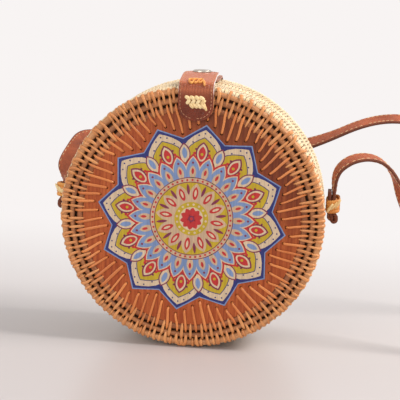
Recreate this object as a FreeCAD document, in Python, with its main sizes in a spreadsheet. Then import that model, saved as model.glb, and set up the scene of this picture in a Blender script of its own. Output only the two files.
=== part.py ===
"""A round woven shoulder bag: two shallow basket halves laced together at the bottom, closed by a
leather tab with a press snap at the top, and carried by a long leather strap lashed to its sides.

Millimetres, +Z up, the front panel faces -Y, the origin is on the ground under the middle of the bag.
"""
import FreeCAD, Part
import Sketcher
import math
import os

Vector = FreeCAD.Vector

# Driving dimensions: name, value, meaning
SIZES = [
    ("shell_radius", 100.0, "outside of the woven wall"),
    ("half_depth", 40.0, "from the seam to the front of the corner hoop"),
    ("seam_gap", 0.2, "each lip's distance from the middle plane"),
    ("soft_gap", 0.3, "room between a piece and the next one"),
    ("wall_thickness", 3.5, "woven wall"),
    ("coil_groove", 0.9, "depth of the grooves between the rounds of coiled straw"),
    ("lip_height", 4.0, "lip hoop along the depth"),
    ("lip_thickness", 4.8, "lip hoop across"),
    ("lining_thickness", 1.0, "cloth lining"),
    ("corner_width", 6.0, "corner hoop, seen from the front"),
    ("corner_depth", 4.0, "corner hoop along the depth"),
    ("hoop_gap", 0.4, "dark gap between the hoops of the border"),
    ("middle_width", 5.4, "middle hoop of the border"),
    ("inner_width", 4.8, "inner hoop of the border"),
    ("hoop_step", 0.4, "border hoops stand back from the corner hoop"),
    ("hoop_depth", 3.0, "border hoops along the depth"),
    ("hoop_round", 1.2, "rounded edges of the hoops"),
    ("disc_step", 0.4, "the wooden disc stands back from the border hoops"),
    ("disc_thickness", 3.0, "wooden disc"),
    ("panel_depth", 3.0, "coiled back panel"),
    ("lobe_count", 12.0, "points of the painted star"),
    ("lobe_holes", 6.0, "lacing holes along each point of the star"),
    ("star_turn", 7.0, "degrees from upright to the nearest point of the star"),
    ("hole_tip_inset", 7.6, "from the disc's edge to a lacing hole outside a point of the star"),
    ("hole_valley_inset", 18.1, "from the disc's edge to a lacing hole between two points"),
    ("hole_radius", 1.1, "lacing hole"),
    ("strip_width", 2.2, "border strip at its outer end"),
    ("strip_tip_width", 1.6, "border strip at its inner end"),
    ("lace_width", 1.7, "disc strip at its outer end"),
    ("lace_tip_width", 1.3, "disc strip at its hole"),
    ("strip_thickness", 0.8, "cane strip"),
    ("strip_lean", 1.7, "degrees that a strip leans from the hole to its outer end"),
    ("tab_width", 26.0, "leather closure"),
    ("tab_thickness", 2.0, "leather closure"),
    ("tab_drop", 26.0, "how far the tabs reach down the faces"),
    ("tab_lift", 0.4, "room under the tabs on top of the wall"),
    ("tab_bend", 2.0, "inside bend of a tab at the corner"),
    ("tab_round", 10.0, "rounded end of a tab"),
    ("flap_axis_depth", 26.0, "bend line of the flap, in front of the seam"),
    ("flap_level_depth", 12.0, "where the flap levels out, in front of the seam"),
    ("flap_reach", 11.0, "flap's end, behind the seam"),
    ("rear_tab_reach", 8.0, "rear tab's end, in front of the seam"),
    ("snap_place", 2.0, "middle of the snap, behind the seam"),
    ("cap_radius", 7.0, "snap cap"),
    ("cap_height", 2.0, "snap cap"),
    ("cap_edge", 0.8, "straight rim of the snap cap"),
    ("cap_crown", 5.2, "radius of the snap cap's flat top"),
    ("socket_radius", 5.0, "snap socket"),
    ("socket_height", 1.0, "snap socket"),
    ("socket_bore", 2.4, "radius of the socket's mouth"),
    ("stud_flange_radius", 5.0, "snap stud's flange"),
    ("stud_flange_height", 0.5, "snap stud's flange"),
    ("stud_radius", 2.0, "snap stud"),
    ("stud_height", 1.3, "snap stud above the rear tab"),
    ("knot_bars", 4.0, "strands of a closure lashing"),
    ("knot_bar_width", 3.2, "one strand"),
    ("knot_pitch", 3.7, "strand to strand"),
    ("knot_length", 10.0, "strand's length"),
    ("knot_thickness", 1.6, "strand's thickness"),
    ("knot_drop", 7.6, "face lashing's top edge under the shell's top"),
    ("knot_inset", 4.0, "top lashing's outer edge behind the face"),
    ("top_knot_length", 8.0, "top lashing's length along the depth"),
    ("strap_width", 14.0, "shoulder strap"),
    ("strap_thickness", 2.4, "shoulder strap"),
    ("anchor_height", 9.4, "strap anchors above the shell's middle"),
    ("anchor_depth", 4.0, "strap anchors behind the seam"),
    ("fold_gap", 0.8, "between the two layers of the folded strap end"),
    ("fold_drop", 14.0, "bottom of the fold under the anchor"),
    ("fold_rise", 12.0, "top of the fold above the anchor"),
    ("band_strands", 4.0, "turns of a strap lashing"),
    ("band_strand_height", 2.4, "one turn"),
    ("band_pitch", 2.7, "turn to turn"),
    ("band_back", 1.2, "turn's thickness against the wall"),
    ("band_front", 4.4, "turn's thickness on the outside"),
    ("band_side", 1.8, "turn's thickness beside the strap"),
    ("lacing_inset", 7.0, "bottom lacing's distance from the middle"),
    ("lacing_width", 10.0, "bottom lacing along the seam"),
    ("lacing_length", 14.0, "bottom lacing across the seam"),
    ("lacing_thickness", 0.5, "bottom lacing under the lowest point of the wall"),
    ("lacing_block", 10.0, "height of the block that the bottom lacing is hollowed from"),
    ("loop_radius", 70.0, "middle of the strap's loop on the ground"),
    ("loop_right", 280.0, "centre of that loop, beside the bag"),
    ("loop_back", 38.0, "centre of that loop, behind the seam"),
]

doc = FreeCAD.newDocument("RoundBag")
sheet = doc.addObject("Spreadsheet::Sheet", "Sizes")


class Size:
    """A number together with the formula that ties it to the sheet."""

    def __init__(self, value, formula):
        self.value = value
        self.formula = formula

    def joined(self, other, sign, value):
        return Size(value, f"({self.formula} {sign} {as_size(other).formula})")

    def __add__(self, other):
        return self.joined(other, "+", self.value + as_size(other).value)

    def __sub__(self, other):
        return self.joined(other, "-", self.value - as_size(other).value)

    def __mul__(self, other):
        return self.joined(other, "*", self.value * as_size(other).value)

    def __truediv__(self, other):
        return self.joined(other, "/", self.value / as_size(other).value)

    def __neg__(self):
        return Size(-self.value, f"(0 - {self.formula})")


def as_size(number):
    return number if isinstance(number, Size) else Size(float(number), f"({float(number)})")


def cosine(angle):
    return Size(math.cos(math.radians(angle.value)), f"cos({angle.formula} * 1 deg)")


def sine(angle):
    return Size(math.sin(math.radians(angle.value)), f"sin({angle.formula} * 1 deg)")


def read_sizes():
    """Fills the sheet and gives every cell back under its alias."""
    named = {}
    for row, (name, value, meaning) in enumerate(SIZES, start=1):
        sheet.set(f"A{row}", meaning)
        sheet.set(f"B{row}", str(value))
        sheet.setAlias(f"B{row}", name)
        named[name] = Size(value, f"Sizes.{name}")
    doc.recompute()
    return named


d = read_sizes()
ZERO = as_size(0)
# A round end takes just under half of the thickness, and edges are told apart within NEAR
ROUND_SHARE = 0.499
NEAR = 0.01

# Radii and levels that several pieces share
middle_height = d["shell_radius"] + d["lacing_thickness"] + d["soft_gap"]
corner_inside = d["shell_radius"] - d["corner_width"]
middle_outside = corner_inside - d["hoop_gap"]
middle_inside = middle_outside - d["middle_width"]
inner_outside = middle_inside - d["hoop_gap"]
inner_inside = inner_outside - d["inner_width"]
disc_radius = inner_inside - d["hoop_gap"]
corner_back = d["half_depth"] - d["corner_depth"]
hoop_front = d["half_depth"] - d["hoop_step"]
hoop_back = hoop_front - d["hoop_depth"]
disc_front = hoop_front - d["disc_step"]
disc_back = disc_front - d["disc_thickness"]
lip_front = d["seam_gap"] + d["lip_height"]
lip_inside = d["shell_radius"] - d["lip_thickness"]
lining_outside = lip_inside - d["soft_gap"]
lining_back = disc_back - d["soft_gap"]
lining_mouth = d["seam_gap"] + d["lip_height"] / 4
strip_top = d["half_depth"] + d["strip_thickness"]
face_under_tab = strip_top + d["soft_gap"]
tab_face = face_under_tab + d["tab_thickness"]
tab_under = d["shell_radius"] + d["tab_lift"]
rear_tab_top = tab_under + d["tab_thickness"]
flap_under = rear_tab_top + d["stud_height"] + d["soft_gap"] + d["socket_height"]
flap_top = flap_under + d["tab_thickness"]
flap_slope = (flap_under - tab_under) / (face_under_tab - d["flap_level_depth"])
anchor_level = middle_height + d["anchor_height"]


def own_feature(body, role):
    return next(part for part in body.Origin.OriginFeatures if part.Role == role)


def bind(thing, **sizes):
    """Ties properties to the sheet."""
    for name, size in sizes.items():
        thing.setExpression(name, size.formula)


def new_body(label, x=ZERO, y=ZERO, z=middle_height, turn=0.0, about=Vector(0, 0, 1)):
    body = doc.addObject("PartDesign::Body", label)
    body.Label = label
    base = Vector(x.value, y.value, z.value)
    body.Placement = FreeCAD.Placement(base, FreeCAD.Rotation(about, turn))
    for axis, size in (("x", x), ("y", y), ("z", z)):
        body.setExpression(f"Placement.Base.{axis}", size.formula)
    return body


def new_sketch(body, name, role, lift=None):
    """A sketch on one of the body's own planes, lifted off it along its normal if asked."""
    sketch = body.newObject("Sketcher::SketchObject", name)
    sketch.AttachmentSupport = (own_feature(body, role), [""])
    sketch.MapMode = "FlatFace"
    if lift is not None:
        sketch.AttachmentOffset = FreeCAD.Placement(Vector(0, 0, lift.value), FreeCAD.Rotation())
        sketch.setExpression("AttachmentOffset.Base.z", lift.formula)
    return sketch


def tie_point(sketch, geometry, point, x, y):
    """Holds a sketch point by its two distances from the sketch's origin."""
    for kind, size, axis in (("DistanceX", x, -2), ("DistanceY", y, -1)):
        if abs(size.value) < 1e-9:
            sketch.addConstraint(Sketcher.Constraint("PointOnObject", geometry, point, axis))
        else:
            index = sketch.addConstraint(Sketcher.Constraint(kind, -1, 1, geometry, point, size.value))
            sketch.setExpression(f"Constraints[{index}]", size.formula)


def tie_radius(sketch, geometry, radius):
    index = sketch.addConstraint(Sketcher.Constraint("Radius", geometry, radius.value))
    sketch.setExpression(f"Constraints[{index}]", radius.formula)


def side_between(start, end, radius=None):
    """A straight side, or a round one that bulges out of a loop drawn counter-clockwise."""
    if radius is None:
        return Part.LineSegment(start, end)
    chord = end - start
    bulge = radius.value - math.sqrt(radius.value ** 2 - chord.Length ** 2 / 4)
    out = Vector(chord.y, -chord.x, 0).normalize()
    return Part.Arc(start, (start + end) / 2 + out * bulge, end)


def add_outline(sketch, corners):
    """A closed loop, tied to the sheet: a corner with a radius starts a round side, others a straight one."""
    first = sketch.GeometryCount
    count = len(corners)
    flat = [Vector(x.value, y.value, 0) for x, y, *radius in corners]
    for index, (x, y, *radius) in enumerate(corners):
        sketch.addGeometry(side_between(flat[index], flat[(index + 1) % count], *radius), False)
    for index in range(count):
        following = first + (index + 1) % count
        sketch.addConstraint(Sketcher.Constraint("Coincident", first + index, 2, following, 1))
    for index, (x, y, *radius) in enumerate(corners):
        tie_point(sketch, first + index, 1, x, y)
        for size in radius:
            tie_radius(sketch, first + index, size)


def add_circle(sketch, x, y, radius):
    middle = Vector(x.value, y.value, 0)
    circle = sketch.addGeometry(Part.Circle(middle, Vector(0, 0, 1), radius.value), False)
    tie_radius(sketch, circle, radius)
    tie_point(sketch, circle, 3, x, y)


def rectangle(left, right, low, high):
    return [(left, low), (right, low), (right, high), (left, high)]


def revolve(body, sketch, angle=360.0):
    turned = body.newObject("PartDesign::Revolution", sketch.Name + "Turned")
    turned.Profile = sketch
    turned.ReferenceAxis = (sketch, ["V_Axis"])
    turned.Angle = angle
    doc.recompute()
    return turned


def pad(body, sketch, length, both_ways=False, backwards=False):
    raised = body.newObject("PartDesign::Pad", sketch.Name + "Raised")
    raised.Profile = sketch
    raised.SideType = "Symmetric" if both_ways else "One side"
    raised.Reversed = backwards
    raised.Length = length.value
    bind(raised, Length=length)
    doc.recompute()
    return raised


def fillet(body, name, radius, chosen):
    """Rounds the edges of the body's last feature that the test picks."""
    base = body.Tip
    names = [f"Edge{number}" for number, edge in enumerate(base.Shape.Edges, start=1) if chosen(edge)]
    rounded = body.newObject("PartDesign::Fillet", name)
    rounded.Base = (base, names)
    rounded.Radius = radius.value
    bind(rounded, Radius=radius)
    doc.recompute()
    return rounded


def row_pattern(body, original, role, pitch, count):
    pattern = body.newObject("PartDesign::LinearPattern", body.Name + "Row")
    pattern.Originals = [original]
    pattern.Direction = (own_feature(body, role), [""])
    bind(pattern, Length=pitch * (count - 1), Occurrences=count)
    body.Tip = pattern
    doc.recompute()


def round_pattern(body, original, count):
    pattern = body.newObject("PartDesign::PolarPattern", body.Name + "Round")
    pattern.Originals = [original]
    pattern.Axis = (own_feature(body, "Y_Axis"), [""])
    pattern.Angle = 360.0
    bind(pattern, Occurrences=count)
    body.Tip = pattern
    doc.recompute()


def is_ring_edge(edge):
    return isinstance(edge.Curve, Part.Circle)


parts = []

FRONT_TURN = 180.0
REAR_TURN = 0.0


# The rings of a half: profiles of radius and depth, turned about the bag's depth axis
def turned_ring(label, turn, corners):
    body = new_body(label, turn=turn)
    sketch = new_sketch(body, label + "Profile", "XY_Plane")
    add_outline(sketch, corners)
    revolve(body, sketch)
    parts.append(body)
    return body


def ring(label, turn, inside, outside, back, front, round_edges=None):
    body = turned_ring(label, turn, rectangle(inside, outside, back, front))
    if round_edges is not None:
        fillet(body, label + "Rounded", round_edges, is_ring_edge)
    return body


# Coiled straw: each round of the rope is an arc that rises out of two grooves
WALL_COILS = 3
PANEL_COILS = 10


def coil_round(pitch):
    """Radius of an arc as wide as one round and as high as the grooves are deep."""
    return pitch * pitch / (d["coil_groove"] * 8) + d["coil_groove"] / 2


def coiled_wall(label, turn, inside, outside, back, front):
    pitch = (front - back) / WALL_COILS
    groove = outside - d["coil_groove"]
    rounds = [(groove, back + pitch * number, coil_round(pitch)) for number in range(WALL_COILS)]
    turned_ring(label, turn, [(inside, back), *rounds, (groove, front), (inside, front)])


def coiled_panel(label, turn, outside, back, front):
    """The rounds end at a flat middle, where the rope begins."""
    pitch = outside / PANEL_COILS
    groove = front - d["coil_groove"]
    rounds = [(outside - pitch * number, groove, coil_round(pitch)) for number in range(PANEL_COILS - 1)]
    turned_ring(label, turn, [(ZERO, back), (outside, back), *rounds, (pitch, groove), (ZERO, groove)])


def lining(label, turn):
    """A cloth cup: the wall's inside and the panel's back."""
    inside = lining_outside - d["lining_thickness"]
    floor = lining_back - d["lining_thickness"]
    turned_ring(label, turn, [(ZERO, floor), (inside, floor), (inside, lining_mouth),
                              (lining_outside, lining_mouth), (lining_outside, lining_back),
                              (ZERO, lining_back)])


def half_shell(side, turn):
    """What both halves share: the lip hoop, the woven wall, the corner hoop and the lining."""
    wall_inside = d["shell_radius"] - d["wall_thickness"]
    wall_low = lip_front + d["soft_gap"]
    wall_high = corner_back - d["soft_gap"]
    ring(side + "_lip_hoop", turn, lip_inside, d["shell_radius"], d["seam_gap"], lip_front)
    coiled_wall(side + "_wall", turn, wall_inside, d["shell_radius"], wall_low, wall_high)
    ring(side + "_corner_hoop", turn, corner_inside, d["shell_radius"], corner_back, d["half_depth"],
         d["hoop_round"])
    lining(side + "_lining", turn)


half_shell("rear", REAR_TURN)
half_shell("front", FRONT_TURN)

# The back panel fills the rear corner hoop
coiled_panel("rear_panel", REAR_TURN, middle_outside, hoop_front - d["panel_depth"], hoop_front)

# The border of the front: two more hoops between the corner hoop and the disc
ring("front_middle_hoop", FRONT_TURN, middle_inside, middle_outside, hoop_back, hoop_front, d["hoop_round"])
ring("front_inner_hoop", FRONT_TURN, inner_inside, inner_outside, hoop_back, hoop_front, d["hoop_round"])


QUARTER_TURN = 90.0
upright = d["star_turn"] + as_size(QUARTER_TURN)


# Lacing holes run in a zigzag outside the star: one per strip, the same under every point
def lacing_holes():
    """Angle and radius of the holes along one point of the star."""
    pitch = as_size(360) / (d["lobe_count"] * d["lobe_holes"])
    half = d["lobe_holes"].value / 2
    tip_radius = disc_radius - d["hole_tip_inset"]
    fall = d["hole_valley_inset"] - d["hole_tip_inset"]
    for number in range(int(d["lobe_holes"].value)):
        share = 1 - abs(1 - number / half)
        yield upright - pitch * number, tip_radius - fall * share


def around(angle, radius, aside=ZERO):
    """A place in the panel's plane, by angle and radius, moved sideways along the circle."""
    x = radius * cosine(angle) - aside * sine(angle)
    y = radius * sine(angle) + aside * cosine(angle)
    return x, y


def front_disc():
    body = ring("front_disc", FRONT_TURN, ZERO, disc_radius, disc_back, disc_front)
    plain = body.Shape.Volume
    sketch = new_sketch(body, "LacingHoles", "XZ_Plane")
    for angle, radius in lacing_holes():
        add_circle(sketch, *around(angle, radius), d["hole_radius"])
    pocket = body.newObject("PartDesign::Pocket", "LacingHolesCut")
    pocket.Profile = sketch
    pocket.SideType = "Symmetric"
    pocket.Type = "ThroughAll"
    doc.recompute()
    round_pattern(body, pocket, d["lobe_count"])
    count = d["lobe_count"].value * d["lobe_holes"].value
    bored = count * math.pi * d["hole_radius"].value ** 2 * d["disc_thickness"].value
    print("front_disc: holes take", round(plain - body.Shape.Volume, 2), "of", round(bored, 2), "mm3")


front_disc()


# Cane strips hold the border together: each lies over one hoop and ends on the next, or at its far edge
def strip(sketch, start_angle, start_radius, end_angle, end_radius, width, tip_width):
    half = width / 2
    half_end = tip_width / 2
    add_outline(sketch, [around(start_angle, start_radius, -half), around(start_angle, start_radius, half),
                         around(end_angle, end_radius, half_end), around(end_angle, end_radius, -half_end)])


def strip_ring(label, level, strips, count):
    """A group of strips that repeats round the panel, lying on the given level."""
    body = new_body(label, turn=FRONT_TURN)
    sketch = new_sketch(body, label + "Plan", "XZ_Plane", lift=-level)
    for one in strips:
        strip(sketch, *one)
    raised = pad(body, sketch, d["strip_thickness"], backwards=True)
    round_pattern(body, raised, count)
    parts.append(body)


strip_count = d["lobe_count"] * d["lobe_holes"]
half_pitch = as_size(180) / strip_count
lace_widths = (d["lace_width"], d["lace_tip_width"])
border_widths = (d["strip_width"], d["strip_tip_width"])
disc_strips = []
for hole_angle, hole_place in lacing_holes():
    tip = hole_place - d["hole_radius"]
    disc_strips.append((hole_angle - d["strip_lean"], inner_outside, hole_angle, tip, *lace_widths))
strip_ring("disc_lashings", hoop_front, disc_strips, d["lobe_count"])
strip_heads = upright - d["strip_lean"]
middle_start = strip_heads + half_pitch
middle_end = inner_inside
strip_ring("middle_lashings", hoop_front,
           [(middle_start, middle_outside, middle_start, middle_end, *border_widths)], strip_count)
corner_end = (middle_inside + middle_outside) / 2
corner_start = d["shell_radius"] - d["strip_thickness"] / 2
strip_ring("corner_lashings", d["half_depth"],
           [(strip_heads, corner_start, strip_heads, corner_end, *border_widths)], strip_count)


# The closure: a leather tab on each half, bent over the corner hoop
def is_corner_edge(depth, height):
    """Picks the edge across a tab at the given depth and height."""
    def chosen(edge):
        middle = edge.CenterOfMass
        straight = isinstance(edge.Curve, Part.Line)
        return straight and abs(middle.y - depth.value) < NEAR and abs(middle.z - height.value) < NEAR
    return chosen


def tab(label, turn, end_depth, slope):
    """A bent strip of leather: down the face, over the corner, then along the top."""
    body = new_body(label, turn=turn)
    sketch = new_sketch(body, label + "Side", "YZ_Plane")
    low = d["shell_radius"] - d["tab_drop"] + d["tab_lift"]
    end_under = tab_under + slope * (face_under_tab - end_depth)
    outer_corner = rear_tab_top - slope * d["tab_thickness"]
    add_outline(sketch, [(face_under_tab, low), (tab_face, low), (tab_face, outer_corner),
                         (end_depth, end_under + d["tab_thickness"]), (end_depth, end_under),
                         (face_under_tab, tab_under)])
    pad(body, sketch, d["tab_width"], both_ways=True)
    half = d["tab_width"].value / 2
    fillet(body, label + "Inside", d["tab_bend"], is_corner_edge(face_under_tab, tab_under))
    outside_bend = d["tab_bend"] + d["tab_thickness"]
    fillet(body, label + "Outside", outside_bend, is_corner_edge(tab_face, outer_corner))

    def is_low_side(edge):
        middle = edge.CenterOfMass
        return abs(abs(middle.x) - half) < NEAR and abs(middle.z - low.value) < NEAR

    fillet(body, label + "End", d["tab_round"], is_low_side)
    parts.append(body)


front_tab_end = d["flap_axis_depth"] + d["tab_thickness"] / 2 + d["soft_gap"]
tab("front_tab", FRONT_TURN, front_tab_end, flap_slope)
tab("rear_tab", REAR_TURN, -d["rear_tab_reach"], ZERO)


# The flap goes on from the front tab, bends at its round front edge and covers the snap
def under_flap(depth):
    return tab_under + flap_slope * (face_under_tab - depth)


flap_axis_level = under_flap(d["flap_axis_depth"]) + d["tab_thickness"] / 2


def clasp_flap():
    body = new_body("clasp_flap", turn=FRONT_TURN)
    sketch = new_sketch(body, "FlapSide", "YZ_Plane")
    front = d["flap_axis_depth"] + d["tab_thickness"] / 2
    level = d["flap_level_depth"]
    low = flap_axis_level - d["tab_thickness"] / 2
    high = flap_axis_level + d["tab_thickness"] / 2
    back = -d["flap_reach"]
    add_outline(sketch, [(front, low), (front, high), (d["flap_axis_depth"], high), (level, flap_top),
                         (back, flap_top), (back, flap_under), (level, flap_under),
                         (d["flap_axis_depth"], low)])
    pad(body, sketch, d["tab_width"], both_ways=True)

    def is_front_edge(edge):
        middle = edge.CenterOfMass
        return abs(middle.y - front.value) < NEAR and abs(middle.x) < NEAR

    def is_back_side(edge):
        middle = edge.CenterOfMass
        return abs(abs(middle.x) - d["tab_width"].value / 2) < NEAR and abs(middle.y - back.value) < NEAR

    fillet(body, "FlapKnuckle", d["tab_thickness"] * ROUND_SHARE, is_front_edge)
    fillet(body, "FlapEnd", d["tab_round"], is_back_side)
    parts.append(body)


clasp_flap()


# The press snap: turned pieces on an upright axis
def turned_piece(label, level, corners):
    body = new_body(label, y=d["snap_place"], z=middle_height + level)
    sketch = new_sketch(body, label + "Profile", "XZ_Plane")
    add_outline(sketch, corners)
    revolve(body, sketch)
    parts.append(body)


turned_piece("snap_cap", flap_top, [(ZERO, ZERO), (d["cap_radius"], ZERO), (d["cap_radius"], d["cap_edge"]),
                                    (d["cap_crown"], d["cap_height"]), (ZERO, d["cap_height"])])
turned_piece("snap_socket", flap_under - d["socket_height"],
             rectangle(d["socket_bore"], d["socket_radius"], ZERO, d["socket_height"]))
turned_piece("snap_stud", rear_tab_top, [(ZERO, ZERO), (d["stud_flange_radius"], ZERO),
                                         (d["stud_flange_radius"], d["stud_flange_height"]),
                                         (d["stud_radius"], d["stud_flange_height"]),
                                         (d["stud_radius"], d["stud_height"]), (ZERO, d["stud_height"])])


# Lashings of the closure: a row of short cane strands on the leather
def knot(label, turn, depth, level, lean, length):
    """Strands standing off a tab: on its face where lean is 0, on its top where it is near 90."""
    body = new_body(label, y=-depth if turn else depth, z=middle_height + level)
    upright_turn = FreeCAD.Rotation(Vector(0, 0, 1), turn)
    body.Placement.Rotation = upright_turn * FreeCAD.Rotation(Vector(1, 0, 0), lean)
    sketch = new_sketch(body, label + "Plan", "XZ_Plane")
    span = d["knot_pitch"] * (d["knot_bars"] - 1) + d["knot_bar_width"]
    left = -(span / 2)
    add_outline(sketch, rectangle(left, left + d["knot_bar_width"], ZERO, length))
    raised = pad(body, sketch, d["knot_thickness"], backwards=True)
    row_pattern(body, raised, "X_Axis", d["knot_pitch"], d["knot_bars"])
    parts.append(body)


face_knot_level = d["shell_radius"] - d["knot_drop"] - d["knot_length"]
top_knot_depth = tab_face - d["knot_inset"]
top_knot_level = under_flap(top_knot_depth) + d["tab_thickness"]
slope_angle = math.degrees(math.atan(flap_slope.value))
knot("front_tab_face_lashing", FRONT_TURN, tab_face, face_knot_level, 0.0, d["knot_length"])
knot("rear_tab_face_lashing", REAR_TURN, tab_face, face_knot_level, 0.0, d["knot_length"])
knot("front_tab_top_lashing", FRONT_TURN, top_knot_depth, top_knot_level, QUARTER_TURN - slope_angle,
     d["top_knot_length"])
knot("rear_tab_top_lashing", REAR_TURN, top_knot_depth, rear_tab_top, QUARTER_TURN, d["top_knot_length"])


# The bottom lacing: two bands under the seam, hollowed to the wall and flat where the bag stands
def lacing_bands():
    bands = []
    for name, left in (("Left", -(d["lacing_inset"] + d["lacing_width"])), ("Right", d["lacing_inset"])):
        band = doc.addObject("Part::Box", "LacingBand" + name)
        bind(band, Length=d["lacing_width"], Width=d["lacing_length"], Height=d["lacing_block"])
        bind(band, **{"Placement.Base.x": left, "Placement.Base.y": -(d["lacing_length"] / 2)})
        bands.append(band)
    both = doc.addObject("Part::Fuse", "LacingBands")
    both.Base, both.Tool = bands
    hollow = doc.addObject("Part::Cylinder", "LacingHollow")
    bind(hollow, Radius=d["shell_radius"] + d["soft_gap"], Height=d["lacing_length"] * 2)
    along = FreeCAD.Rotation(Vector(1, 0, 0), -QUARTER_TURN)
    hollow.Placement = FreeCAD.Placement(Vector(0, 0, 0), along)
    bind(hollow, **{"Placement.Base.y": -d["lacing_length"], "Placement.Base.z": middle_height})
    cut = doc.addObject("Part::Cut", "hinge_lashings")
    cut.Label = "hinge_lashings"
    cut.Base, cut.Tool = both, hollow
    doc.recompute()
    parts.append(cut)


lacing_bands()


# Strap anchors: the strap's end is folded back on itself and bound to the wall
wall_at_anchor = d["shell_radius"] + d["soft_gap"]
fold_inside = d["band_back"] + d["soft_gap"]
fold_outside = fold_inside + d["strap_thickness"] * 2 + d["fold_gap"]


def anchor_body(label, side):
    turn = 0.0 if side == "right" else 180.0
    x = wall_at_anchor if side == "right" else -wall_at_anchor
    return new_body(label, x=x, y=d["anchor_depth"], z=anchor_level, turn=turn)


def strap_fold(side):
    """Two layers joined by a round bend at the bottom."""
    label = "strap_fold_" + side
    body = anchor_body(label, side)
    sketch = new_sketch(body, label + "Side", "XZ_Plane")
    inner = fold_inside + d["strap_thickness"]
    outer = fold_outside - d["strap_thickness"]
    low = -d["fold_drop"]
    bend = low + d["strap_thickness"]
    add_outline(sketch, [(fold_inside, d["fold_rise"]), (fold_inside, low), (fold_outside, low),
                         (fold_outside, d["fold_rise"]), (outer, d["fold_rise"]), (outer, bend),
                         (inner, bend), (inner, d["fold_rise"])])
    pad(body, sketch, d["strap_width"], both_ways=True)

    def at_level(level):
        def chosen(edge):
            middle = edge.CenterOfMass
            across = isinstance(edge.Curve, Part.Line) and abs(middle.y) < NEAR
            return across and abs(middle.z - level.value) < NEAR
        return chosen

    bend_inside = d["fold_gap"] * ROUND_SHARE
    fillet(body, label + "Inside", bend_inside, at_level(bend))
    fillet(body, label + "Outside", bend_inside + d["strap_thickness"], at_level(low))
    parts.append(body)


def strap_band(side):
    """Turns of cane round the folded end, one above the other."""
    label = "strap_lashing_" + side
    body = anchor_body(label, side)
    count = d["band_strands"]
    bottom = -(d["band_pitch"] * (count - 1) + d["band_strand_height"]) / 2
    sketch = new_sketch(body, label + "Plan", "XY_Plane", lift=bottom)
    room = d["strap_width"] / 2 + d["soft_gap"]
    reach = room + d["band_side"]
    add_outline(sketch, rectangle(ZERO, fold_outside + d["soft_gap"] + d["band_front"], -reach, reach))
    add_outline(sketch, rectangle(d["band_back"], fold_outside + d["soft_gap"], -room, room))
    raised = pad(body, sketch, d["band_strand_height"])
    row_pattern(body, raised, "Z_Axis", d["band_pitch"], count)
    parts.append(body)


for strap_side in ("left", "right"):
    strap_fold(strap_side)
    strap_band(strap_side)

# The free strap: places chosen along it, each with the way that its width points
layer_middle = wall_at_anchor.value + fold_outside.value - d["strap_thickness"].value / 2
layer_top = anchor_level.value + d["fold_rise"].value
layer_depth = d["anchor_depth"].value
loop_start = d["loop_right"].value
loop_rear = d["loop_back"].value + d["loop_radius"].value
loop_fore = d["loop_back"].value - d["loop_radius"].value
edge_height = d["strap_width"].value / 2
REAR_RUN = [
    ((-layer_middle, layer_depth, layer_top), (0, 1, 0)),
    ((-layer_middle, layer_depth, 127.5), (-0.65, 0.75, 0)),
    ((-104.5, 6, 133.5), (-0.97, 0.25, 0)),
    ((-102, 11.5, 139.5), (-0.97, 0.2, 0.1)),
    ((-99.5, 21, 144.2), (-0.85, 0.05, 0.5)),
    ((-98, 38, 147.5), (-0.4, 0, 0.9)),
    ((-89.5, 52, 146), (-0.1, 0, 1)),
    ((-70, 60, 143.5), (0, 0, 1)),
    ((-43, 66, 141), (0, 0, 1)),
    ((-8, 69.5, 139), (0, 0.2, 1)),
    ((33, 71.5, 139), (0, 0.5, 0.85)),
    ((68, 73.5, 142), (0, 0.8, 0.6)),
    ((98, 75, 152), (0, 0.93, 0.36)),
    ((130, 76, 168), (0, 0.93, 0.36)),
    ((158, 78, 172.5), (0, 0.93, 0.36)),
    ((188, 82.5, 166), (0, 0.9, 0.45)),
    ((211, 88, 146), (0, 0.8, 0.6)),
    ((228, 94, 112), (0, 0.6, 0.8)),
    ((239.5, 100, 76), (0, 0.35, 0.9)),
    ((246, 104.5, 45), (0, 0.15, 1)),
    ((251.5, 107, 23), (0, 0, 1)),
    ((258.5, loop_rear, 11), (0, 0, 1)),
    ((269, loop_rear, edge_height), (0, 0, 1)),
    ((loop_start, loop_rear, edge_height), (0, 0, 1)),
]
FRONT_RUN = [
    ((loop_start, loop_fore, edge_height), (0, 0, 1)),
    ((265, loop_fore, edge_height), (0, 0, 1)),
    ((246, -29.8, 9.5), (0, -0.05, 1)),
    ((228, -25.5, 19), (0, -0.1, 1)),
    ((211, -19, 36), (0, -0.2, 0.97)),
    ((196, -12, 59), (0, -0.3, 0.95)),
    ((181, -5.5, 85), (0, -0.4, 0.92)),
    ((168.5, -1, 108), (0, -0.45, 0.9)),
    ((158.5, 2, 126.5), (0, -0.55, 0.83)),
    ((150.5, 3.2, 138.5), (0, -0.8, 0.6)),
    ((141, 3.8, 146.3), (0, -0.96, 0.25)),
    ((130, layer_depth, 148.8), (0, -1, 0)),
    ((118.5, layer_depth, 146.3), (0, -1, 0)),
    ((109.5, layer_depth, 139.5), (0, -1, 0)),
    ((layer_middle, layer_depth, 131.5), (0, -1, 0)),
    ((layer_middle, layer_depth, layer_top), (0, -1, 0)),
]
ARC_SHARE = 0.45
ARC_STATIONS = 4


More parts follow.
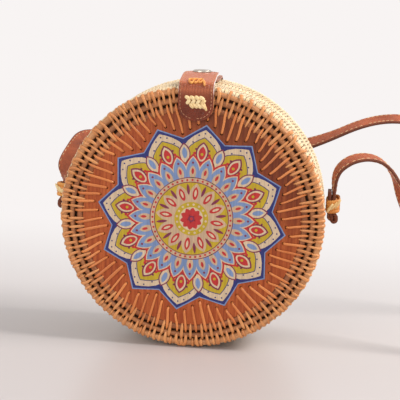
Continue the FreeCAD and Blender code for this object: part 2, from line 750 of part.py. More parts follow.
def rounded_path(route):
    """Stations along straight runs joined by tangent arcs: place, direction and width."""
    places = [Vector(*place) for place, width in route]
    widths = [Vector(*width).normalize() for place, width in route]
    runs = [b - a for a, b in zip(places, places[1:])]
    stations = [(places[0], Vector(runs[0]).normalize(), widths[0])]
    radii = []
    for index in range(1, len(places) - 1):
        before, after = Vector(runs[index - 1]).normalize(), Vector(runs[index]).normalize()
        turn = before.getAngle(after)
        back_off = ARC_SHARE * min(runs[index - 1].Length, runs[index].Length)
        radius = back_off / math.tan(turn / 2)
        radii.append(radius)
        axis = before.cross(after).normalize()
        start = places[index] - before * back_off
        centre = start + axis.cross(before) * radius
        for step in range(ARC_STATIONS):
            share = step / (ARC_STATIONS - 1)
            swing = FreeCAD.Rotation(axis, math.degrees(turn) * share)
            place = centre + swing.multVec(start - centre)
            lean = (share - 0.5) * ARC_SHARE
            other = widths[index + 1] if lean > 0 else widths[index - 1]
            width = widths[index] * (1 - abs(lean)) + other * abs(lean)
            stations.append((place, swing.multVec(before), width))
    stations.append((places[-1], Vector(runs[-1]).normalize(), widths[-1]))
    return stations, radii


def strap_run(label, route):
    """A flat strap along the route, its width turning from place to place."""
    stations, radii = rounded_path(route)
    half_width = d["strap_width"].value / 2
    half_thick = d["strap_thickness"].value / 2
    sections = []
    for place, heading, width in stations:
        across = (width - heading * width.dot(heading)).normalize() * half_width
        out = heading.cross(across).normalize() * half_thick
        corners = [place + across + out, place - across + out, place - across - out, place + across - out]
        sections.append(Part.makePolygon(corners + corners[:1]))
    run = doc.addObject("Part::Feature", label)
    run.Label = label
    run.Shape = Part.makeLoft(sections, True, True)
    length = sum((b[0] - a[0]).Length for a, b in zip(stations, stations[1:]))
    ideal = length * d["strap_width"].value * d["strap_thickness"].value
    print(label, "length", round(length, 1), "volume", round(run.Shape.Volume), "of", round(ideal),
          "radii", [round(radius) for radius in radii])
    parts.append(run)
    return length


def strap_loop():
    """Half a turn standing on its edge, from the rear run round to the front run."""
    body = new_body("strap_loop", x=d["loop_right"], y=d["loop_back"], z=ZERO, turn=-QUARTER_TURN)
    sketch = new_sketch(body, "LoopSection", "XZ_Plane")
    half_thick = d["strap_thickness"] / 2
    add_outline(sketch, rectangle(d["loop_radius"] - half_thick, d["loop_radius"] + half_thick, ZERO,
                                  d["strap_width"]))
    revolve(body, sketch, 180.0)
    parts.append(body)
    return math.pi * d["loop_radius"].value


free_length = strap_run("strap_rear_run", REAR_RUN) + strap_loop() + strap_run("strap_front_run", FRONT_RUN)
print("free strap length", round(free_length, 1))
print("loop's least gap to itself", round(2 * d["loop_radius"].value - d["strap_thickness"].value, 1))

# Every object is sound before anything is written
doc.recompute()
for thing in doc.Objects:
    if "Invalid" in thing.State or "Error" in thing.State:
        raise RuntimeError(thing.Name + " failed: " + str(thing.State))
os.makedirs("parts", exist_ok=True)
for part in parts:
    if part.Shape.isNull() or not part.Shape.isValid():
        raise RuntimeError(part.Label + " has no sound shape")
for part in parts:
    part.Shape.exportStep(f"parts/{part.Label}.step")
print(len(parts), "parts;", "shell hinge at", round(d["lacing_thickness"].value + d["soft_gap"].value, 3),
      "flap hinge at", round(-d["flap_axis_depth"].value, 3),
      round(middle_height.value + flap_axis_level.value, 3))
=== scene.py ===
# %% [markdown]
# # A round woven shoulder bag
# The real bag is two shallow baskets laced together at the bottom. A thin wooden disc closes the front,
# held by cane strips that run from holes in the wood out over three cane hoops. A leather closure with a
# press snap sits on top, and a long flat leather strap is bound to the sides.
#
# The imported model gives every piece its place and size. This lesson dresses it: each cell makes one piece
# of the bag or one finish, and prints what it made. All lengths are metres; `MM` turns millimetres into
# metres.

# %% Load the frame
import bpy
import bmesh
import numpy as np
from contextlib import contextmanager
from math import atan2, copysign, cos, pi, radians, sin
from mathutils import Matrix, Vector


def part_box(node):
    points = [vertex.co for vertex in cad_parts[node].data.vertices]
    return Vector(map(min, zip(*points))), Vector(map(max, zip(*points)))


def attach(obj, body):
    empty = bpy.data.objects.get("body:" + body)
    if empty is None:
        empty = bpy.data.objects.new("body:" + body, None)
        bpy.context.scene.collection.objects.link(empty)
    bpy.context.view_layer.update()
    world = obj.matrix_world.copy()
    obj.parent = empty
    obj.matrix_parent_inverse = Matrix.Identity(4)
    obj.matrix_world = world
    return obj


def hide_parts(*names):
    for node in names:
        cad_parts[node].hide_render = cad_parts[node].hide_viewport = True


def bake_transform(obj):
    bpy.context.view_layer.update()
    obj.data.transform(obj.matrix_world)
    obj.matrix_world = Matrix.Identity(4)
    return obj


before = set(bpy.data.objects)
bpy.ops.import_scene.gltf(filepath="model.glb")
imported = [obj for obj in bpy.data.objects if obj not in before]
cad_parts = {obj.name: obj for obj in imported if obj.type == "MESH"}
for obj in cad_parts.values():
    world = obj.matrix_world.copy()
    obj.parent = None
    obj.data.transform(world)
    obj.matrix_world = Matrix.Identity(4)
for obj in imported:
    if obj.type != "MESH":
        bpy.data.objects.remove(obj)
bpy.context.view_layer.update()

MM = 0.001

# %% [markdown]
# ## Helpers for modelling
# Most pieces start as a primitive that is shaped in edit mode. An operator acts on whatever is selected,
# so each helper first deselects everything. Finished meshes keep their place in their points, with the
# object at the origin.

# %% Edit mode and meshes
def deselect():
    bpy.ops.object.select_all(action="DESELECT")


def pick(piece):
    """Selects one piece alone and makes it the active one."""
    deselect()
    piece.select_set(True)
    bpy.context.view_layer.objects.active = piece


@contextmanager
def editing(piece, select="SELECT"):
    """Edit mode on one piece alone, with all of it selected or none."""
    pick(piece)
    bpy.ops.object.mode_set(mode="EDIT")
    bpy.ops.mesh.select_all(action=select)
    yield bmesh.from_edit_mesh(piece.data)
    bpy.ops.object.mode_set(mode="OBJECT")


def points_of(piece):
    flat = np.zeros(len(piece.data.vertices) * 3)
    piece.data.vertices.foreach_get("co", flat)
    return flat.reshape(-1, 3)


def set_points(piece, points):
    piece.data.vertices.foreach_set("co", np.asarray(points, float).ravel())
    piece.data.update()


def new_object(name, data):
    made = bpy.data.objects.new(name, data)
    bpy.context.scene.collection.objects.link(made)
    return made


def new_mesh(name, points, faces=(), edges=()):
    mesh = bpy.data.meshes.new(name)
    mesh.from_pydata([tuple(point) for point in points], edges, faces)
    return new_object(name, mesh)


# %% Primitives, modifiers and bodies
def named(name):
    """The primitive that was just added, under its own name, with its place and size applied."""
    piece = bpy.context.active_object
    piece.name = name
    piece.data.name = name
    bpy.ops.object.transform_apply(location=True, rotation=True, scale=True)
    return piece


def apply_modifier(piece, kind, **settings):
    pick(piece)
    modifier = piece.modifiers.new(kind, kind)
    for key, value in settings.items():
        setattr(modifier, key, value)
    bpy.ops.object.modifier_apply(modifier=modifier.name)


def smooth(piece, degrees=40):
    pick(piece)
    bpy.ops.object.shade_smooth_by_angle(angle=radians(degrees))


def join(name, *pieces):
    pick(pieces[0])
    for piece in pieces[1:]:
        piece.select_set(True)
    bpy.ops.object.join()
    pieces[0].name = name
    return pieces[0]


def settle(piece, body, slot, *nodes, bend=None):
    """Rides a piece on its body, or with a bend bakes its place in; hides the CAD nodes. Slot is not used.
    """
    if bend:
        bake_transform(piece)
    else:
        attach(piece, body)
    if nodes:
        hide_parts(*nodes)
    print(piece.name, len(piece.data.polygons), "faces")
    return piece


# %% [markdown]
# ## Copies of one shape
# Cane strips, stitches and strands repeat hundreds of times. Each is modelled once, and `repeat` copies
# its points through a list of moves into one mesh. Every copy gets a random `tint` from a fixed seed, and
# a UV map in the shape's own millimetres, so that the fibre's grain runs along each strand. A shape can
# also carry a value of painted shade, which darkens points deep in the weave or on a cane's shaded flank.
# `look` keeps the materials under their names. An Array modifier would set the copies too evenly, and
# hundreds of separate objects would be slow to handle.

# %% Copies
look = {}


def coat(piece, *finishes):
    for finish in finishes:
        piece.data.materials.append(look[finish])


def set_values(piece, name, values):
    """One number for each point, which a material can read."""
    attribute = piece.data.attributes.new(name, "FLOAT", "POINT")
    attribute.data.foreach_set("value", np.asarray(values, np.float32))


def set_uv(piece, flat):
    """A UV map from two numbers for each point."""
    corners = np.zeros(len(piece.data.loops), int)
    piece.data.loops.foreach_get("vertex_index", corners)
    piece.data.uv_layers.new(name="UVMap").data.foreach_set("uv", flat[corners].ravel())


def repeat(shape, name, moves, seed, finish, grain=1 / MM):
    """One mesh of all copies; grain turns the shape's own X and Y into the UV map."""
    points = points_of(shape)
    count = len(points)
    faces = [tuple(face.vertices) for face in shape.data.polygons]
    piece = new_mesh(name, np.concatenate([move(points) for move in moves]),
                     [tuple(corner + turn * count for corner in face)
                      for turn in range(len(moves)) for face in faces])
    set_values(piece, "tint", np.repeat(np.random.default_rng(seed).random(len(moves)), count))
    if "hollow" in shape.data.attributes:
        hollows = [item.value for item in shape.data.attributes["hollow"].data]
        set_values(piece, "hollow", np.tile(hollows, len(moves)))
    set_uv(piece, np.tile(points[:, :2] * grain, (len(moves), 1)))
    bpy.data.objects.remove(shape)
    smooth(piece, 60)
    coat(piece, finish)
    return piece


# %% [markdown]
# ## Where things are on a round bag
# The bag's middle axis runs along Y. A place on it is an angle seen from the front, a radius, and a depth
# from the seam, negative towards the front. `on_wall` sets a shape on the outside of the wall, with its
# own Z pointing outwards, and `on_face` sets one on a flat side.

# %% Round places
MIDDLE = np.array([0.0, 0.0, (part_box("front_wall")[0].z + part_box("front_wall")[1].z) / 2])
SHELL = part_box("front_wall")[1].x
DEPTH = np.array([0.0, 1.0, 0.0])


def outward(angle):
    return np.array([cos(angle), 0.0, sin(angle)])


def aside(angle):
    return np.array([-sin(angle), 0.0, cos(angle)])


def placed(start, x_axis, y_axis, z_axis, turn=0.0):
    """A move that turns a shape about its own Z, and then lays its axes on three directions."""
    def move(points):
        x = points[:, :1] * cos(turn) - points[:, 1:2] * sin(turn)
        y = points[:, :1] * sin(turn) + points[:, 1:2] * cos(turn)
        return start + x * x_axis + y * y_axis + points[:, 2:] * z_axis
    return move


def on_wall(angle, depth, radius, turn=0.0):
    """Shape X goes round the wall, Y along the depth, Z outwards."""
    start = MIDDLE + outward(angle) * radius + DEPTH * depth
    return placed(start, -aside(angle), DEPTH, outward(angle), turn)


def on_face(angle, radius, depth, side, turn=0.0):
    """Shape Y points away from the middle, Z out of the face; side is -1 at the front and 1 at the back."""
    start = MIDDLE + outward(angle) * radius + DEPTH * depth
    return placed(start, side * aside(angle), outward(angle), side * DEPTH, turn)


print("middle height", round(MIDDLE[2] / MM, 2), "shell radius", round(SHELL / MM, 2))

# %% [markdown]
# ## The camera
# It stands where the photographer stood: almost in front, a little to the right and above, and tilted by
# two degrees. The shift moves the picture without turning the camera.

# %% Camera
FACE = Vector((0.0, -0.040, 0.1008))
STANDPOINT = Vector((0.0831, -0.9189, 0.2756))
TILT = radians(2.3)

camera_data = bpy.data.cameras.new("camera")
camera_data.lens = 107.8
camera_data.sensor_width = 36.0
camera_data.shift_x = 0.0218
camera_data.shift_y = 0.047
camera_data.dof.use_dof = False
camera = new_object("camera", camera_data)
aim = (FACE - STANDPOINT).to_track_quat("-Z", "Y").to_matrix() @ Matrix.Rotation(TILT, 3, "Z")
camera.matrix_world = Matrix.Translation(STANDPOINT) @ aim.to_4x4()
bpy.context.scene.camera = camera
print("camera at", [round(value, 3) for value in STANDPOINT])

# %% [markdown]
# ## Materials from nodes
# Small helpers place a node, set its values or link its sockets, and give back its output for the next
# node. Colours are written as they look on a screen, from 0 to 255, and turned into the linear values
# that Blender works in.

# %% Node helpers
def colour(red, green, blue):
    shares = np.array([red, green, blue]) / 255
    linear = np.where(shares <= 0.04045, shares / 12.92, ((shares + 0.055) / 1.055) ** 2.4)
    return (*linear.tolist(), 1.0)


def node(tree, kind, inputs=None, output=0, **settings):
    made = tree.nodes.new("ShaderNode" + kind)
    for key, value in settings.items():
        setattr(made, key, value)
    for key, value in (inputs or {}).items():
        if isinstance(value, bpy.types.NodeSocket):
            tree.links.new(value, made.inputs[key])
        else:
            made.inputs[key].default_value = value
    return made.outputs[output]


def maths(tree, operation, *values, **settings):
    return node(tree, "Math", dict(enumerate(values)), operation=operation, **settings)


def spread(tree, value, low, high, first, last, **settings):
    """Carries a value from the range low to high over to the range first to last."""
    limits = {"From Min": low, "From Max": high, "To Min": first, "To Max": last}
    return node(tree, "MapRange", {"Value": value, **limits}, **settings)


def clouds(tree, vector, scale, detail, roughness=0.5):
    inputs = {"Vector": vector, "Scale": scale, "Detail": detail, "Roughness": roughness}
    return node(tree, "TexNoise", inputs, "Fac")


def mix(tree, factor, first, second, mode="MIX"):
    inputs = {"Factor": factor, "A": first, "B": second}
    return node(tree, "Mix", inputs, "Result", data_type="RGBA", blend_type=mode)


def ramp(tree, factor, *stops):
    """A colour ramp: each stop is a place and a colour."""
    tone = node(tree, "ValToRGB", {"Fac": factor}, "Color")
    elements = tone.node.color_ramp.elements
    for index, (place, stop) in enumerate(stops):
        element = elements[index] if index < 2 else elements.new(place)
        element.position = place
        element.color = colour(*stop)
    return tone


def object_place(tree):
    return node(tree, "TexCoord", output="Object")


# %% Groups and materials
WHITE = (1.0, 1.0, 1.0, 1.0)
BLACK = (0.0, 0.0, 0.0, 1.0)
COLOR = "NodeSocketColor"
FLOAT = "NodeSocketFloat"


def new_group(name, **inputs):
    """A group with colours and numbers as inputs, which puts out a colour, a roughness and a height."""
    tree = bpy.data.node_groups.new(name, "ShaderNodeTree")
    for label, value in inputs.items():
        kind = COLOR if isinstance(value, tuple) else FLOAT
        tree.interface.new_socket(label, in_out="INPUT", socket_type=kind).default_value = value
    for label, kind in (("Color", COLOR), ("Roughness", FLOAT), ("Height", FLOAT)):
        tree.interface.new_socket(label, in_out="OUTPUT", socket_type=kind)
    return tree, tree.nodes.new("NodeGroupInput").outputs, tree.nodes.new("NodeGroupOutput").inputs


def put_out(tree, sockets, *values):
    for socket, value in zip(sockets, values):
        tree.links.new(value, socket)


def new_material(name, **shader):
    """A Principled material, with constant values set on the shader itself."""
    material = look[name] = bpy.data.materials.new(name)
    material.use_nodes = True
    surface = material.node_tree.nodes["Principled BSDF"]
    for key, value in shader.items():
        surface.inputs[key.replace("_", " ")].default_value = value
    return material.node_tree, surface


def dress(tree, surface, tone, rough, height=None, bump=0.0, depth=MM):
    """Links a colour, a roughness and, through a bump, a height to the shader."""
    tree.links.new(tone, surface.inputs["Base Color"])
    tree.links.new(rough, surface.inputs["Roughness"])
    if height is not None:
        inputs = {"Height": height, "Strength": bump, "Distance": depth}
        tree.links.new(node(tree, "Bump", inputs, "Normal"), surface.inputs["Normal"])


def group_material(name, group, specular, bump, **values):
    """A material that is one group with its own values."""
    tree, surface = new_material(name, Specular_IOR_Level=specular)
    dress(tree, surface, *node(tree, "Group", values, node_tree=group).node.outputs, bump)


# %% [markdown]
# ## Plant fibre
# Straw, cane and split rattan share one look: fine lines along each strand, darker spots here and there,
# and strands that differ a little from each other. The group reads the strand's UV map and its tint, and
# each material gives it its own light and dark colours. Where a point carries painted shade, a dark brown
# is painted in as the shade in the holes of the weave and on the flanks of the canes.

# %% Fibre group
fibre, given, out = new_group("plant_fibre", Light=WHITE, Dark=BLACK, Fineness=2.0, Gloss=0.45)
strand_map = node(fibre, "UVMap", output="UV", uv_map="UVMap")
axes = node(fibre, "SeparateXYZ", {"Vector": strand_map}).node.outputs
tint = node(fibre, "Attribute", output="Fac", attribute_name="tint")
lines_at = node(fibre, "CombineXYZ", {"X": maths(fibre, "MULTIPLY", axes["X"], given["Fineness"]),
                                      "Y": maths(fibre, "MULTIPLY", axes["Y"], 0.12),
                                      "Z": maths(fibre, "MULTIPLY", tint, 53.0)})
lines = clouds(fibre, lines_at, 1.0, 3.0)
streak = spread(fibre, lines, 0.3, 0.7, 0.0, 0.45)
patch = spread(fibre, clouds(fibre, object_place(fibre), 45.0, 3.0), 0.45, 0.75, 0.0, 0.3)
shade = maths(fibre, "MULTIPLY_ADD", tint, 0.4, maths(fibre, "ADD", streak, patch), use_clamp=True)
tone = mix(fibre, shade, given["Light"], given["Dark"])
# Painted shade: a dark brown mixed in by the painted-shade value, for holes in the weave and cane flanks.
hollow = node(fibre, "Attribute", output="Fac", attribute_name="hollow")
put_out(fibre, out, mix(fibre, hollow, tone, colour(84, 44, 20)),
        maths(fibre, "MULTIPLY_ADD", lines, 0.25, given["Gloss"]), lines)

# %% Straw and canes
for name, light, dark, fineness, gloss, bump in (
        ("straw", (252, 236, 202), (230, 192, 138), 2.2, 0.38, 0.25),
        ("border_cane", (236, 168, 106), (190, 112, 60), 1.6, 0.24, 0.3),
        ("lace_cane", (236, 150, 84), (196, 104, 50), 1.6, 0.2, 0.3),
        ("corner_cane", (222, 160, 106), (168, 106, 64), 1.2, 0.3, 0.35),
        ("middle_cane", (198, 130, 80), (132, 76, 42), 1.2, 0.3, 0.35),
        ("inner_cane", (184, 112, 66), (112, 60, 32), 1.2, 0.3, 0.35),
        ("pale_cane", (255, 238, 190), (230, 180, 106), 2.4, 0.32, 0.4),
        ("amber_cane", (250, 186, 100), (206, 118, 54), 2.4, 0.32, 0.4),
        # Painted shade: the dark core under the strands and behind the border's canes.
        ("shade_backing", (78, 44, 22), (38, 20, 10), 1.0, 0.7, 0.2)):
    group_material(name, fibre, 0.4, bump, Light=colour(*light), Dark=colour(*dark), Fineness=fineness,
                   Gloss=gloss)
print("fibre materials made")

# %% [markdown]
# ## Leather
# The closure and the strap are pebbled brown leather. Voronoi cells give the pebbles, and a slow noise
# gives darker and lighter zones from handling. Where a point carries painted light, the leather takes a
# lighter colour: over the top of the flap as lit from above, and as a highlight just below the fold.
# Cut edges are rougher, and thread shares the same group with finer pebbles.

# %% Leather group
hide, given, out = new_group("pebbled_leather", Light=WHITE, Dark=BLACK, Faded=WHITE, Pebble=900.0,
                             Gloss=0.4)
cells = node(hide, "TexVoronoi", {"Vector": object_place(hide), "Scale": given["Pebble"]}, "Distance",
             feature="DISTANCE_TO_EDGE")
zones = clouds(hide, object_place(hide), 60.0, 5.0, 0.65)
crease = spread(hide, cells, 0.0, 0.12, 0.35, 0.0)
shade = maths(hide, "ADD", crease, spread(hide, zones, 0.35, 0.7, 0.0, 0.65), use_clamp=True)
tone = mix(hide, shade, given["Light"], given["Dark"])
# Painted light: the lighter colour goes where a point carries painted light.
painted_light = node(hide, "Attribute", output="Fac", attribute_name="painted_light")
put_out(hide, out, mix(hide, painted_light, tone, given["Faded"]),
        maths(hide, "MULTIPLY_ADD", zones, 0.3, given["Gloss"]), spread(hide, cells, 0.0, 0.2, 0.0, 1.0))

# %% Leathers and threads
for name, light, dark, pebble, gloss, bump in (
        ("closure_hide", (140, 56, 25), (78, 29, 12), 900.0, 0.18, 0.35),
        ("strap_hide", (188, 98, 60), (122, 58, 36), 1000.0, 0.34, 0.3),
        ("strap_edge", (124, 66, 44), (84, 42, 28), 1400.0, 0.45, 0.3),
        ("cut_edge", (186, 118, 86), (130, 74, 50), 1600.0, 0.55, 0.4),
        ("thread", (214, 160, 122), (176, 120, 86), 2400.0, 0.5, 0.3),
        ("pale_thread", (236, 202, 160), (200, 158, 116), 2400.0, 0.5, 0.3)):
    group_material(name, hide, 0.33, bump, Light=colour(*light), Dark=colour(*dark), Pebble=pebble,
                   Gloss=gloss, Faded=colour(216, 124, 84) if name == "closure_hide" else WHITE)
print("leather materials made")

# %% [markdown]
# ## The strap
# The strap is one flat strip of leather. Its line is a NURBS spline whose control points are the places
# of the route, so it bends softly instead of kinking. Each place also says which way the strap's width
# points, because a flat strap twists as it goes: edge-on at the sides of the bag, flat behind it, and on
# its edge on the floor. A bevelled curve could carry a flat section too, but it turns the width by its
# own rule, so the section is swept in code.

# %% Strap route
STRAP_WIDTH = 14 * MM
STRAP_THICKNESS = 2.4 * MM
STRAP_START = 116.0
LOOP_X, LOOP_Y, LOOP_LEVEL = 280, 38, 7.02
LOOP_RADIUS = 70
LOOP_REAR = LOOP_Y + LOOP_RADIUS
LOOP_FORE = LOOP_Y - LOOP_RADIUS
LOOP_POINTS = 8
# Each row is a place in millimetres and the direction of the strap's width.
REAR_ROUTE = [
    (-106.2, 4, STRAP_START, -0.2, 1, 0), (-106.2, 4, 121, -0.7, 0.7, 0),
    (-106, 4.6, 127.5, -0.97, 0.25, 0), (-104.5, 7, 134, -0.97, 0.2, 0),
    (-102, 12, 139.8, -0.97, 0.2, 0.1), (-99.5, 21, 144.2, -0.85, 0.05, 0.5),
    (-98, 38, 147.5, -0.4, 0, 0.9), (-89.5, 52, 146, -0.1, 0, 1), (-70, 60, 143.5, 0, 0, 1),
    (-43, 66, 141, 0, 0, 1), (-8, 69.5, 139, 0, 0.2, 1), (33, 71.5, 139, 0, 0.5, 0.85),
    (68, 73.5, 142, 0, 0.8, 0.6), (98, 75, 152, 0, 0.93, 0.36), (130, 76, 168, 0, 0.93, 0.36),
    (158, 78, 172.5, 0, 0.93, 0.36), (188, 82.5, 166, 0, 0.9, 0.45), (211, 88, 146, 0, 0.8, 0.6),
    (228, 94, 112, 0, 0.6, 0.8), (239.5, 100, 76, 0, 0.35, 0.9), (246, 104.5, 45, 0, 0.15, 1),
    (251.5, 107, 23, 0, 0, 1), (258.5, LOOP_REAR, 11, 0, 0, 1), (269, LOOP_REAR, LOOP_LEVEL, 0, 0, 1),
    (LOOP_X, LOOP_REAR, LOOP_LEVEL, 0, 0, 1),
]
FRONT_ROUTE = [
    (LOOP_X, LOOP_FORE, LOOP_LEVEL, 0, 0, 1), (265, LOOP_FORE, LOOP_LEVEL, 0, 0, 1),
    (246, -29.8, 9.5, 0, -0.05, 1), (228, -25.5, 19, 0, -0.1, 1), (211, -19, 36, 0, -0.2, 0.97),
    (196, -12, 59, 0, -0.3, 0.95), (181, -5.5, 85, 0.2, -0.4, 0.9), (166, -1, 105.5, 0.45, -0.45, 0.8),
    (156, 2, 125, 0.4, -0.65, 0.6), (150, 3.2, 138, 0, -0.9, 0.4), (141, 3.8, 146.3, 0, -1, 0.05),
    (130, 4, 148.8, 0, -1, -0.18), (118.5, 4, 146.3, 0.2, -1, -0.3), (109.5, 4, 139.5, 0.38, -1, -0.2),
    (106.2, 4, 131.5, 0.3, -1, 0), (106.2, 4, 123, 0.15, -1, 0), (106.2, 4, STRAP_START, 0, -1, 0),
]
loop_step = pi / LOOP_POINTS
loop_swell = LOOP_RADIUS / cos(loop_step / 2)
loop_route = []
for turn in range(LOOP_POINTS):
    swing = pi / 2 - loop_step * (turn + 0.5)
    loop_route.append((LOOP_X + loop_swell * cos(swing), LOOP_Y + loop_swell * sin(swing), LOOP_LEVEL,
                       0, 0, 1))
route = np.array(REAR_ROUTE + loop_route + FRONT_ROUTE, float)


# %% Strap line
def walked(rows):
    """How far along a line each of its points lies."""
    return np.concatenate([[0], np.cumsum(np.linalg.norm(np.diff(rows, axis=0), axis=1))])


curve = bpy.data.curves.new("strap_line", "CURVE")
curve.dimensions = "3D"
curve.resolution_u = 8
spline = curve.splines.new("NURBS")
spline.points.add(len(route) - 1)
for point, spot in zip(spline.points, route[:, :3] * MM):
    point.co = (*spot, 1.0)
spline.order_u = 3
spline.use_endpoint_u = True
line_object = new_object("strap_line", curve)
bpy.context.view_layer.update()
line_mesh = bpy.data.meshes.new_from_object(line_object)
strap_line = np.array([vertex.co for vertex in line_mesh.vertices])
bpy.data.objects.remove(line_object)
travelled = walked(strap_line)
strap_length = float(travelled[-1])
print("strap line", len(strap_line), "points", round(strap_length, 4), "m")


# %% Strap frames
def unit(rows):
    return rows / np.linalg.norm(rows, axis=-1, keepdims=True)


def read_rows(rows, places, at):
    """The columns of a table of rows, read between its places."""
    return [np.interp(at, places, column) for column in rows.T]


def along_line(line, widths):
    """Headings, widths and normals at every point of a line."""
    heading = unit(np.gradient(line, axis=0))
    width = unit(widths - heading * np.sum(widths * heading, axis=1, keepdims=True))
    return heading, width, np.cross(heading, width)


WIDTH_SWEEPS = 6
shares = np.linspace(0, len(route) - 1, len(strap_line))
wanted = np.stack(read_rows(route[:, 3:], np.arange(len(route)), shares), axis=1)
for sweep in range(WIDTH_SWEEPS):
    wanted[1:-1] = (wanted[:-2] + 2 * wanted[1:-1] + wanted[2:]) / 4
strap_heading, strap_width, strap_normal = along_line(strap_line, wanted)
print("the strap's width is turned at", len(wanted), "points")

# %% Strap
EDGE_CORNERS = (0, 1, 6, 7, 8, 9, 14, 15)


def flat_section(width, thickness):
    """Half-round edges, a hair thinner in the middle of each face."""
    half = width / 2
    thick = thickness / 2
    lip = thick * 0.75
    upper = [(-half, 0), (-half + lip * 0.3, thick * 0.75), (-half + lip, thick),
             (-half * 0.5, thick * 0.94), (0, thick * 0.9), (half * 0.5, thick * 0.94),
             (half - lip, thick), (half - lip * 0.3, thick * 0.75)]
    return np.array(upper + [(-across, -lift) for across, lift in upper])


def sweep_strip(name, line, width, normal, thickness):
    """A closed flat strip along a line."""
    section = flat_section(STRAP_WIDTH, thickness)
    rings = line[:, None] + section[None, :, :1] * width[:, None] + section[None, :, 1:] * normal[:, None]
    corners = len(section)
    grid = np.arange(len(line) * corners).reshape(-1, corners)
    after = np.roll(grid, -1, axis=1)
    sides = np.stack([grid[:-1], after[:-1], after[1:], grid[1:]], axis=-1).reshape(-1, 4)
    faces = [*sides.tolist(), grid[0, ::-1].tolist(), grid[-1].tolist()]
    piece = new_mesh(name, rings.reshape(-1, 3), faces)
    coat(piece, "strap_hide", "strap_edge")
    for index, face in enumerate(piece.data.polygons):
        face.material_index = int(index % corners in EDGE_CORNERS)
    with editing(piece):
        bpy.ops.mesh.normals_make_consistent(inside=False)
    smooth(piece, 50)
    return piece


strap = sweep_strip("strap", strap_line, strap_width, strap_normal, STRAP_THICKNESS)
settle(strap, "rear_half", "leather", "strap_rear_run", "strap_loop", "strap_front_run")


# %% [markdown]
# Two rows of thread run along the strap's edges. One stitch is a stretched sphere, half sunk in the
# leather, and it is copied along both edges and both faces.

# %% Strap stitching
STITCH_STEP = 4.2 * MM
STITCH_INSET = 1.9 * MM


def new_stitch(length, thickness):
    deselect()
    bpy.ops.mesh.primitive_uv_sphere_add(segments=6, ring_count=4, radius=0.5)
    shape = named("stitch")
    set_points(shape, points_of(shape) * [thickness, length, thickness])
    return shape


row_offset = STRAP_WIDTH / 2 - STITCH_INSET
stitch_moves = []
for distance in np.arange(STITCH_STEP, strap_length - STITCH_STEP, STITCH_STEP):
    station = np.argmin(np.abs(travelled - distance))
    heading, width, normal = strap_heading[station], strap_width[station], strap_normal[station]
    for offset in (-row_offset, row_offset):
        for lift in (-STRAP_THICKNESS / 2, STRAP_THICKNESS / 2):
            start = strap_line[station] + width * offset + normal * lift
            stitch_moves.append(placed(start, -width, heading, normal))
strap_stitching = repeat(new_stitch(2.9 * MM, 0.8 * MM), "strap_stitching", stitch_moves, 11, "pale_thread")
settle(strap_stitching, "rear_half", "leather")

# %% [markdown]
# ## The studio
# A pale glossy floor that curves up into a backdrop, one soft lamp at the upper right, a weaker one on
# the left, and an even pale sky. Behind the bag, the camera and shiny surfaces see the paper turn plain
# white; the white grows from just in front of the bag, so it also paints light over the bag's shadow
# on the floor behind it. Its light on the bag stays the same.

# %% Floor and backdrop
FLOOR_SIZE = 5.0
BEND_START, BEND_RADIUS = 1.3, 0.8


def seen_rays(tree):
    """1 for rays from the camera or off a shiny surface, 0 for the rest."""
    rays = node(tree, "LightPath").node.outputs
    return maths(tree, "MAXIMUM", rays["Is Camera Ray"], rays["Is Glossy Ray"])


deselect()
bpy.ops.mesh.primitive_grid_add(x_subdivisions=2, y_subdivisions=48, size=FLOOR_SIZE, location=(0, 0.6, 0))
backdrop = named("backdrop")
bend = points_of(backdrop)
past = np.clip(bend[:, 1] - BEND_START, 0, None)
swing = np.clip(past / BEND_RADIUS, 0, pi / 2)
beyond = np.clip(past - BEND_RADIUS * pi / 2, 0, None)
bend[:, 1] = np.minimum(bend[:, 1], BEND_START) + BEND_RADIUS * np.sin(swing)
bend[:, 2] = BEND_RADIUS * (1 - np.cos(swing)) + beyond
set_points(backdrop, bend)
smooth(backdrop, 60)
tree, surface = new_material("paper", Base_Color=colour(200, 193, 192), Roughness=0.3)
depth = node(tree, "SeparateXYZ", {"Vector": object_place(tree)}, "Y")
# Painted light: the white starts just in front of the bag and lightens its shadow on the floor.
far = spread(tree, depth, -0.06, 0.45, 0.0, 1.0, interpolation_type="SMOOTHSTEP")
whiten = maths(tree, "MULTIPLY", far, seen_rays(tree))
white = node(tree, "Emission", {"Color": colour(248, 244, 243)})
shown = node(tree, "MixShader", {0: whiten, 1: surface.outputs[0], 2: white})
tree.links.new(shown, tree.nodes["Material Output"].inputs["Surface"])
coat(backdrop, "paper")


# %% Lights
LAMP_TARGET = Vector((0, 0, 0.1))
SKY_LIGHT, SKY_SEEN = 0.57, 0.95


def soft_lamp(name, spot, size, power, tone):
    data = bpy.data.lights.new(name, "AREA")
    data.shape = "DISK"
    data.size = size
    data.energy = power
    data.color = tone
    lamp = new_object(name, data)
    lamp.location = spot
    lamp.rotation_euler = (LAMP_TARGET - Vector(spot)).to_track_quat("-Z", "Y").to_euler()


soft_lamp("key", (1.25, -0.1, 1.3), size=0.6, power=27, tone=(1.0, 0.98, 0.955))
soft_lamp("fill", (-0.8, -1.6, 0.8), size=1.4, power=12, tone=(1.0, 0.98, 0.96))
world = bpy.data.worlds.new("studio")
world.use_nodes = True
bpy.context.scene.world = world
sky = world.node_tree.nodes["Background"]
glow = spread(world.node_tree, seen_rays(world.node_tree), 0.0, 1.0, SKY_LIGHT, SKY_SEEN)
world.node_tree.links.new(glow, sky.inputs["Strength"])
sky.inputs["Color"].default_value = (1.0, 0.975, 0.955, 1.0)
bpy.context.scene.view_settings.view_transform = "Standard"
print("studio lit")

